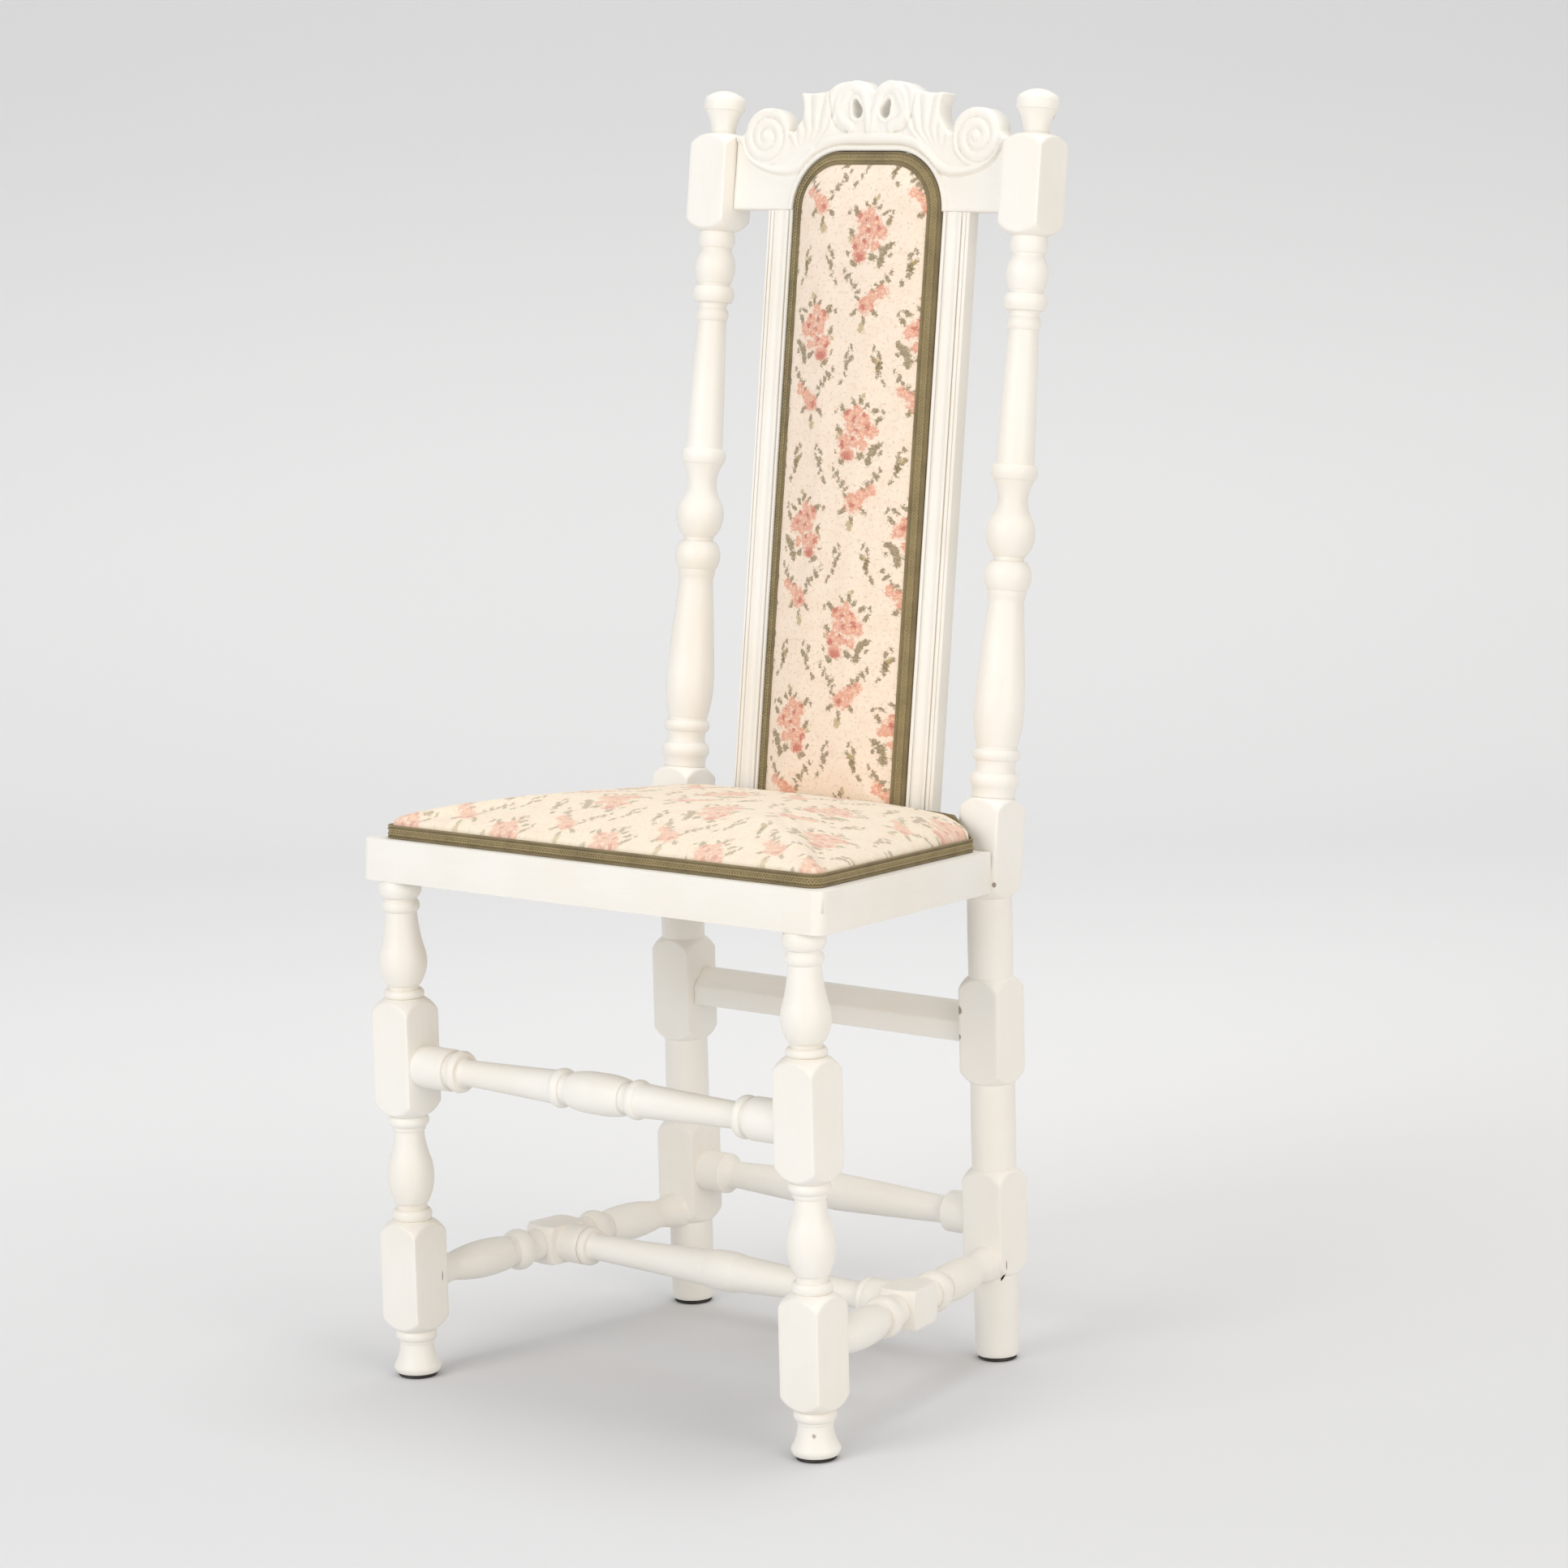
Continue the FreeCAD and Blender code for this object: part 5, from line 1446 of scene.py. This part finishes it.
def heldOnSeat(p):
    flat = onSeat(p)
    edge = frameTop + seat["edgeHeight"] + rearShare(flat) * seat["rearRise"]
    free = easeStep(fromSeat(p)[2], edge - seat["heldBelow"], edge + seat["freeAbove"])
    calm = seat["calm"] * easeStep(flat[:, 1], postFront - seat["calmFrom"], postFront - seat["calmTo"])
    return 1 - free * (1 - calm)


fillPad(seatPad, seat["voxel"], seat["pressure"], seat["most"], heldOnSeat)
clothMap(seatPad, onSeat)
dressed(seatPad, "seat_pad")

# The back has the same cover on a shallower pad, and its braid lies on the pad's sloping edge
backPadValues = {
    "reach": 12.8,             # width of the slope under the braid
    "wall": 3.0,               # height on its outer side
    "edge": 8.0,               # and on its inner side
    "crown": 12.0,
    "inset": 47.0,             # the crown is full from here inwards
    "sides": 380,
    "free": 3.5,               # the cover is free above this height over the slope
    "held": 0.5,               # and held below this one
    "voxel": 4.0,
    "pressure": 3.0,
    "most": 4.0,
}
wallShare = backPadValues["wall"] / backPadValues["edge"]
backProfile = [(0.3, 0.0, 0.0), (0.0, wallShare * 0.5, 0.0), (0.0, wallShare, 0.0),
               (backPadValues["reach"] * 0.5, (1 + wallShare) / 2, 0.0), (backPadValues["reach"], 1.0, 0.0)]
crownRun = backPadValues["inset"] - backPadValues["reach"]
backProfile += [(backPadValues["reach"] + crownRun * (1 - math.cos(t)), 1.0, math.sin(t) ** 0.9)
                for t in np.linspace(0.30, 1.5, 10)]
rings = []
for inset, edgeShare, crownShare in backProfile:
    loop = evenly(archLoop(gimp["thickness"] + gimp["fit"] + inset), backPadValues["sides"])
    depth = canvasFront - edgeShare * backPadValues["edge"] - crownShare * backPadValues["crown"]
    rings.append(standUp(loop, depth))
backPad = padShell("backCushion", rings, raked, floralBack)


def heldOnBack(p):
    front = canvasFront - backPadValues["edge"]
    return easeStep(fromBack(p)[1], front - backPadValues["free"], front - backPadValues["held"])


fillPad(backPad, backPadValues["voxel"], backPadValues["pressure"], backPadValues["most"], heldOnBack)
clothMap(backPad, onBack)
dressed(backPad, "back_pad")
print("pads filled")


# The braid is a plait of three threads between two twisted cords, run along a path by one node tree
def threadTree():
    tree = bpy.data.node_groups.new("gimpThreads", "GeometryNodeTree")
    face = tree.interface
    face.new_socket("Geometry", in_out="INPUT", socket_type="NodeSocketGeometry")
    for kind, names in (("NodeSocketVector", ("Up",)),
                        ("NodeSocketFloat", ("Lean", "Height", "Thread radius", "Plaits", "Twists", "Step")),
                        ("NodeSocketMaterial", ("Plait finish", "Cord finish"))):
        for name in names:
            face.new_socket(name, in_out="INPUT", socket_type=kind)
    face.new_socket("Geometry", in_out="OUTPUT", socket_type="NodeSocketGeometry")
    nodes, links = tree.nodes, tree.links
    given = nodes.new("NodeGroupInput")
    result = nodes.new("NodeGroupOutput")

    def add(kind, settings=None, **values):
        node = nodes.new(kind)
        for key, value in (settings or {}).items():
            setattr(node, key, value)
        for key, value in values.items():
            number = key[0] == "i" and key[1:].isdigit()
            slot = node.inputs[int(key[1:]) if number else key.replace("_", " ")]
            if hasattr(value, "links"):
                links.new(value, slot)
            else:
                slot.default_value = value
        return node

    def maths(operation, first, second=0.0):
        return add("ShaderNodeMath", {"operation": operation}, i0=first, i1=second).outputs[0]

    def scaled(vector, factor):
        node = add("ShaderNodeVectorMath", {"operation": "SCALE"}, i0=vector)
        links.new(factor, node.inputs["Scale"])
        return node.outputs[0]

    def added(first, second):
        return add("ShaderNodeVectorMath", {"operation": "ADD"}, i0=first, i1=second).outputs[0]

    even = add("GeometryNodeResampleCurve", {"mode": "LENGTH"})
    links.new(given.outputs["Geometry"], even.inputs["Curve"])
    links.new(given.outputs["Step"], even.inputs["Length"])
    share = add("GeometryNodeSplineParameter").outputs["Factor"]
    tangent = add("GeometryNodeInputTangent").outputs[0]
    up, lean, height, radius = (given.outputs[name] for name in ("Up", "Lean", "Height", "Thread radius"))
    side = add("ShaderNodeVectorMath", {"operation": "CROSS_PRODUCT"}, i0=up, i1=tangent).outputs[0]
    cosine, sine = maths("COSINE", lean), maths("SINE", lean)
    along = added(scaled(up, cosine), scaled(side, sine))
    inward = added(scaled(side, cosine), scaled(up, maths("MULTIPLY", sine, -1.0)))
    join = add("GeometryNodeJoinGeometry")
    # each thread: turns round the path, phase, sway up and in as shares of the height, place up, thickness, finish
    threads = [("Plaits", k / 3, 0.20, 0.055, 2.0, 0.0, 1.0, "Plait finish") for k in range(3)]
    for edge in (-1, 1):
        threads += [("Twists", k / 2, 0.048, 0.048, 1.0, 0.40 * edge, 0.72, "Cord finish") for k in range(2)]
    for turns, phase, swayUp, swayIn, double, placeUp, thick, finish in threads:
        angle = maths("MULTIPLY", maths("MULTIPLY", share, given.outputs[turns]), 2 * math.pi)
        upAngle = maths("ADD", angle, phase * 2 * math.pi)
        inAngle = maths("ADD", maths("MULTIPLY", angle, double), phase * 2 * math.pi * double + math.pi / 2)
        rise = maths("ADD", maths("MULTIPLY", maths("SINE", upAngle), swayUp), placeUp)
        rise = maths("MULTIPLY", rise, height)
        sway = maths("MULTIPLY", maths("MULTIPLY", maths("SINE", inAngle), swayIn), height)
        move = added(scaled(along, rise), scaled(inward, sway))
        strand = add("GeometryNodeSetPosition", None, Geometry=even.outputs[0], Offset=move)
        section = add("GeometryNodeCurvePrimitiveCircle", None, Resolution=5)
        links.new(maths("MULTIPLY", radius, thick), section.inputs["Radius"])
        tube = add("GeometryNodeCurveToMesh", None, Curve=strand.outputs[0])
        links.new(section.outputs[0], tube.inputs["Profile Curve"])
        smooth = add("GeometryNodeSetShadeSmooth", None, Geometry=tube.outputs[0])
        coloured = add("GeometryNodeSetMaterial", None, Geometry=smooth.outputs[0])
        links.new(given.outputs[finish], coloured.inputs["Material"])
        links.new(coloured.outputs[0], join.inputs[0])
    real = add("GeometryNodeRealizeInstances", None, Geometry=join.outputs[0])
    links.new(real.outputs[0], result.inputs[0])
    return tree


def pathCurve(name, points):
    curve = bpy.data.curves.new(name, "CURVE")
    curve.dimensions = "3D"
    spline = curve.splines.new("POLY")
    spline.points.add(len(points) - 1)
    spline.points.foreach_set("co", np.column_stack((points * mm, np.ones(len(points)))).ravel())
    spline.use_cyclic_u = True
    return linked(name, curve)


def grown(path, tree, values, name):
    # Runs a node tree on a path and keeps the result as a plain mesh
    modifier = path.modifiers.new(name, "NODES")
    modifier.node_group = tree
    for item in tree.interface.items_tree:
        if item.in_out == "INPUT" and item.name in values:
            modifier[item.identifier] = values[item.name]
    mesh = meshOf(path)
    mesh.name = name
    path.modifiers.clear()
    bpy.data.objects.remove(path)
    return linked(name, mesh)


def tape(name, loopAt, profile, around, place):
    # A flat band behind the plait; its profile is a closed run of (inset, level)
    rows = [around(evenly(loopAt(inset), gimp["tapeSteps"]), level) for inset, level in profile]
    faces = quads(len(rows), len(rows[0]), along=True)
    return markShadeAndWear(addPiece(name, place(np.concatenate(rows)), faces, braidCord), 1)


gimpTree = threadTree()


def braidAlong(name, points, up, lean, height, node):
    closed = np.vstack((points, points[:1]))
    length = np.linalg.norm(np.diff(closed, axis=0), axis=1).sum()
    threads = grown(pathCurve(name + "Path", points), gimpTree, {
        "Up": up, "Lean": lean, "Height": height * mm, "Thread radius": gimp["threadRadius"] * mm,
        "Plaits": float(round(length / gimp["pitch"])), "Twists": float(round(length / gimp["cordPitch"])),
        "Step": gimp["step"] * mm, "Plait finish": braid, "Cord finish": braidCord}, name)
    dressed(markShadeAndWear(threads, 1), node)


def seatRing(loop, level):
    return layFlat(loop, level + rearShare(loop) * seat["braidRise"])


seatUp = (0.0, tiltSin, tiltCos)
backUp = (0.0, -rakeCos, rakeSin)
thick = gimp["thickness"]
seatPath = tilted(seatRing(seatLoop(thick / 2, 2.0), frameTop + seat["edgeHeight"] / 2))
braidAlong("seatBraid", seatPath, seatUp, 0.0, gimp["height"], "seat_gimp")
tapeIn = thick - gimp["tape"]
tapeLow, tapeHigh = frameTop + gimp["fit"], frameTop + seat["edgeHeight"] - gimp["fit"]
seatTape = tape("seatTape", seatLoop, ((tapeIn, tapeLow), (tapeIn, tapeHigh), (thick, tapeHigh), (thick, tapeLow)),
                seatRing, tilted)
dressed(seatTape, "seat_gimp")

# The back's braid lies on a slope from the top of a low wall up to the pad's edge, and the tape just under it
slopeReach, slopeRise = backPadValues["reach"], backPadValues["edge"] - backPadValues["wall"]
wallDepth, edgeDepth = canvasFront - backPadValues["wall"], canvasFront - backPadValues["edge"]
backLoop = evenly(archLoop(slopeReach / 2, 2.0), gimp["pathSteps"])
backPath = raked(standUp(backLoop, (wallDepth + edgeDepth) / 2))
slopeLean, slopeWidth = math.atan2(slopeReach, slopeRise), math.hypot(slopeReach, slopeRise)
braidAlong("backBraid", backPath, backUp, slopeLean, slopeWidth - 1.0, "back_gimp")
backTape = tape("backTape", archLoop, ((0.5, canvasFront - 0.2), (0.5, wallDepth), (slopeReach, edgeDepth - 0.2),
                                       (slopeReach + 0.6, edgeDepth + 1.0), (1.6, wallDepth + 0.6),
                                       (1.6, canvasFront - 0.2)), standUp, raked)
dressed(backTape, "back_gimp")
print("braid laid")


def thickened(piece, thickness):
    solid = piece.modifiers.new("thickness", "SOLIDIFY")
    solid.thickness = thickness * mm
    solid.offset = 0
    return withModifiers(piece)


# The cloths under and behind the pads: how far in they end, steps along the edge and inside, and thickness
cloths = {
    "hessian": {"inset": 6.0, "rim": 6.0, "step": 7.0, "thickness": 0.7},
    "canvas": {"inset": 0.5, "rim": 6.0, "step": 10.0, "thickness": 0.8},
    "lining": {"inset": 0.2, "rim": 4.0, "step": 4.0, "thickness": 0.55},
}
seatPlane = (tilted, layFlat, onSeat)
backPlane = (raked, standUp, onBack)


def clothLoop(loopAt, kind):
    return loopAt(cloths[kind]["inset"], cloths[kind]["rim"])


def clothSheet(name, kind, loop, plane, levelOf, material):
    # A sheet filling a loop, with its own small unevenness, and given a thickness
    place, around, flatOf = plane
    step = cloths[kind]["step"]
    low, high = loop.min(0), loop.max(0)
    xs = np.arange(low[0], high[0], step)
    ys = np.arange(low[1], high[1], step)
    inner = np.array([(x, y) for y in ys for x in xs])
    inner = inner[insideOf(loop, inner)]
    inner = inner[distanceTo(loop, inner) > step * 0.5]
    flat = np.concatenate((loop, inner))
    edges = [(k, (k + 1) % len(loop)) for k in range(len(loop))]
    verts, _, triangles, _, _, _ = geometry.delaunay_2d_cdt([Vector(p) for p in flat], edges, [], 1, 0.0001)
    flat = np.array([tuple(p) for p in verts])
    points = around(flat, levelOf(flat))
    sheet = addPiece(name, place(points), [tuple(t) for t in triangles], material, 60.0, close=False)
    return clothMap(thickened(sheet, cloths[kind]["thickness"]), flatOf)


webbing = {
    "width": 50.0,
    "thickness": 1.1,
    "inset": 22.0,             # of the straps' ends from the frame's outside
    "rearReach": 4.5,          # behind the posts' faces
    "step": 4.0,
    "crossing": 34.0,          # a strap keeps its level for so long on both sides of a crossing
    "clear": 0.08,             # under and over both layers
    "play": 0.05,
    "edgeDrop": 0.048,
}


def webStrap(name, centre, start, end, lengthwise, places, parity):
    # One strap that passes over and under the others
    width, thickness = webbing["width"], webbing["thickness"]
    along = np.linspace(start, end, max(2, round((end - start) / webbing["step"])) + 1)
    level = np.zeros(len(along))
    for k, place in enumerate(places):
        sign = 1 if (k + parity) % 2 == 0 else -1
        level += sign * np.exp(-((along - place) / webbing["crossing"]) ** 4)
    low, high = frameTop + webbing["clear"], frameTop + 2 * seat["webbing"] - webbing["clear"]
    middle = (low + high) / 2 + level * (high - low - thickness - webbing["play"]) / 2
    across = np.linspace(-width / 2, width / 2, 9)
    points = []
    for a, m in zip(along, middle):
        for c in across:
            x, y = (centre + c, a) if lengthwise else (a, centre + c)
            points.append((x, y, m - webbing["edgeDrop"] * abs(c) / (width / 2)))
    faces = quads(len(along), len(across), around=False)
    strap = thickened(addPiece(name, tilted(points), faces, jute, 60.0, close=False), thickness)
    if lengthwise:
        clothMap(strap, lambda p: onSeat(p) - np.array((centre, 0)))
    else:
        clothMap(strap, lambda p: (onSeat(p) - np.array((0, centre)))[:, ::-1])
    dressed(strap, "seat_webbing")


webFront, webRear = frameFront + webbing["inset"], postFront + webbing["rearReach"]
strapXs = [-frameHalfRear + 2 * frameHalfRear * k / 4 for k in (1, 2, 3)]
strapYs = [webFront + (webRear - webFront) * k / 4 for k in (1, 2, 3)]
for k, x in enumerate(strapXs):
    webStrap(f"webStrapLong_{k + 1}", x, webFront, webRear, True, strapYs, k)
for k, y in enumerate(strapYs):
    reach = frameEdge(y, webbing["inset"])
    webStrap(f"webStrapCross_{k + 1}", y, -reach, reach, False, strapXs, k + 1)


def hessianLevel(p):
    return padBase - 0.5 + 0.10 * np.sin(p[:, 0] / 9.0) * np.sin(p[:, 1] / 11.0)


hessianLoop = clothLoop(seatLoop, "hessian")
seatCloth = clothSheet("seatHessian", "hessian", hessianLoop, seatPlane, hessianLevel, hessian)
dressed(seatCloth, "seat_hessian")
canvasLoop = clothLoop(archLoop, "canvas")
backCanvas = clothSheet("backCanvas", "canvas", canvasLoop, backPlane,
                        lambda p: canvasFront + panel["canvas"] / 2, canvas)
dressed(backCanvas, "back_canvas")


def liningLevel(p):
    rim = distanceTo(archLoop(0.0, 6.0), p)
    puff = easeStep(rim, 2.0, 26.0) * (0.16 * np.sin(p[:, 0] / 17.0 + 2 * np.sin(p[:, 1] / 60.0))
                                      + 0.12 * np.sin(p[:, 1] / 23.0 + p[:, 0] / 31.0))
    fold = 0.18 * (1 - easeStep(rim, 7.0, 9.0))
    return panel["boardBack"] - 0.55 + fold - puff


liningLoop = clothLoop(archLoop, "lining")
backLining = clothSheet("backLining", "lining", liningLoop, backPlane, liningLevel, lining)
dressed(backLining, "back_lining")


def declareSheet(loop):
    size = (loop.max(0) - loop.min(0)) * mm


declareSheet(hessianLoop)
declareSheet(canvasLoop)
declareSheet(liningLoop)
print("cloths laid")


# Height and radius of a foot's glide: a pressed disc with a rolled edge and a nail dimple below
glideRows = ((0.9, 2.0), (0.0, 2.2), (0.9, 2.4), (0.9, 4.6), (0.0, 5.2), (0.0, 15.6), (0.35, 16.8), (1.1, 17.5),
             (2.9, 17.5), (3.6, 17.1), (4.0, 16.2))
glideSides = 40


def glidePair(name, x, y):
    turns = [2 * math.pi * k / glideSides for k in range(glideSides)]
    disc = [(radius * math.cos(t), radius * math.sin(t), height) for height, radius in glideRows for t in turns]
    disc += [(0, 0, glideRows[0][0]), (0, 0, glideRows[-1][0])]
    sides = quads(len(glideRows), glideSides)
    last = len(disc) - 2 - glideSides
    for k in range(glideSides):
        j = (k + 1) % glideSides
        sides += [(len(disc) - 2, j, k), (last + k, last + j, len(disc) - 1)]
    points = [(side * x + p[0], y + p[1], p[2]) for side in (1, -1) for p in disc]
    faces = sides + [tuple(corner + len(disc) for corner in face) for face in sides]
    return markShadeAndWear(addPiece(name, points, faces, rubber), 1)


dressed(glidePair("frontGlides", legX, legY), "front_foot_glides")
dressed(glidePair("rearGlides", postX, postY), "rear_foot_glides")
print("glides set")

# Floor and backdrop are one sweep, in metres
room = {
    # near and high are painted shade, glow a painted glow
    "near": rgb(0.875, 0.880, 0.890),
    "floor": rgb(0.950, 0.951, 0.953),
    "high": rgb(0.870, 0.873, 0.876),
    "glow": rgb(0.42, 0.42, 0.43),
    "glowStrength": 0.6,
    "turn": 38.4,              # degrees from the chair's front to the camera
    "width": 9.0,
    "front": -6.0,
    "back": 2.6,
    "bend": 1.4,
    "height": 5.0,
}


def sweep():
    line = [(room["front"], 0.0), (room["back"], 0.0)]
    line += [(room["back"] + room["bend"] * math.sin(t), room["bend"] * (1 - math.cos(t)))
             for t in np.linspace(0.1, math.pi / 2, 14)]
    line.append((room["back"] + room["bend"], room["height"]))
    turn = math.radians(room["turn"])
    back = Vector((math.sin(turn), -math.cos(turn), 0))
    side = Vector((back.y, -back.x, 0))
    points = []
    for run, height in line:
        for x in (-room["width"], room["width"]):
            place = -back * run + side * x
            points.append((place.x / mm, place.y / mm, height / mm))
    f = Finish("floorPaper")
    place = f.place()
    x, y, z = f.split(place)
    far = x * -back.x - y * back.y
    # painted shade: the floor is darker towards the camera and under the chair, and the backdrop darker up high
    colour = f.mix(f.ease(far, -0.5, 1.2), room["near"], room["floor"])
    colour = f.mix(f.ease(z, 0.25, 1.25), colour, room["high"])
    colour = f.mix(f.noise(place, 40.0, 3.0) * 0.03, colour, (0.8, 0.8, 0.8))
    # painted light: the sweep glows for the camera, the more the further back it lies, though it is no lamp
    seen = f.node("ShaderNodeLightPath", output="Is Camera Ray")
    glow = f.mix(seen * f.ease(far, 0.0, 1.8), (0.0, 0.0, 0.0), room["glow"])
    paper = f.finish(Base_Color=colour, Roughness=0.95, Emission_Color=glow, Emission_Strength=room["glowStrength"])
    addPiece("floorSweep", points, quads(len(line), 2, around=False), paper, 180.0, close=False)


sweep()

# Soft, plain light from three round lamps and the world, in metres and watts
worldStrength = 0.57
lampAim = Vector((0, 0, 0.6))
lamps = {
    "key": {"at": (-0.5, -3.7, 2.2), "size": 2.6, "power": 58.0, "colour": (1.0, 0.985, 0.965)},
    "fill": {"at": (3.3, -1.0, 1.5), "size": 2.4, "power": 34.0, "colour": (1.0, 0.89, 0.76)},
    "top": {"at": (0.2, 0.5, 3.6), "size": 1.8, "power": 33.0, "colour": (1.0, 0.99, 0.97)},
}
world = bpy.data.worlds.new("studio")
bpy.context.scene.world = world
world.use_nodes = True
background = world.node_tree.nodes["Background"]
background.inputs["Color"].default_value = (1.0, 1.0, 1.0, 1.0)
background.inputs["Strength"].default_value = worldStrength
for name, value in lamps.items():
    lamp = bpy.data.lights.new(name, "AREA")
    lamp.shape = "DISK"
    lamp.size = value["size"]
    lamp.energy = value["power"]
    lamp.color = value["colour"]
    holder = linked(name, lamp)
    holder.location = value["at"]
    holder.rotation_euler = (lampAim - Vector(value["at"])).to_track_quat("-Z", "Y").to_euler()

# Camera at the photograph's angle, for a square frame
view = {
    "target": (0.0465, -0.0053, 0.5343),
    "back": (0.6126, -0.7736, 0.1618),     # from the target to the camera
    "distance": 4.2982,
    "roll": -1.407,
    "lens": 111.35,
    "sensor": 36.0,
}
back = Vector(view["back"]).normalized()
right = Vector((-back.y, back.x, 0)).normalized()
up = back.cross(right)
turn = math.radians(view["roll"])
rolledRight = right * math.cos(turn) + up * math.sin(turn)
rolledUp = back.cross(rolledRight)
lens = bpy.data.cameras.new("camera")
lens.lens = view["lens"]
lens.sensor_width = view["sensor"]
lens.sensor_fit = "HORIZONTAL"
camera = linked("camera", lens)
axes = Matrix((rolledRight, rolledUp, back)).transposed().to_4x4()
camera.matrix_world = Matrix.Translation(Vector(view["target"]) + back * view["distance"]) @ axes
bpy.context.scene.camera = camera
bpy.context.scene.view_settings.view_transform = "Standard"
print("camera and lights set")
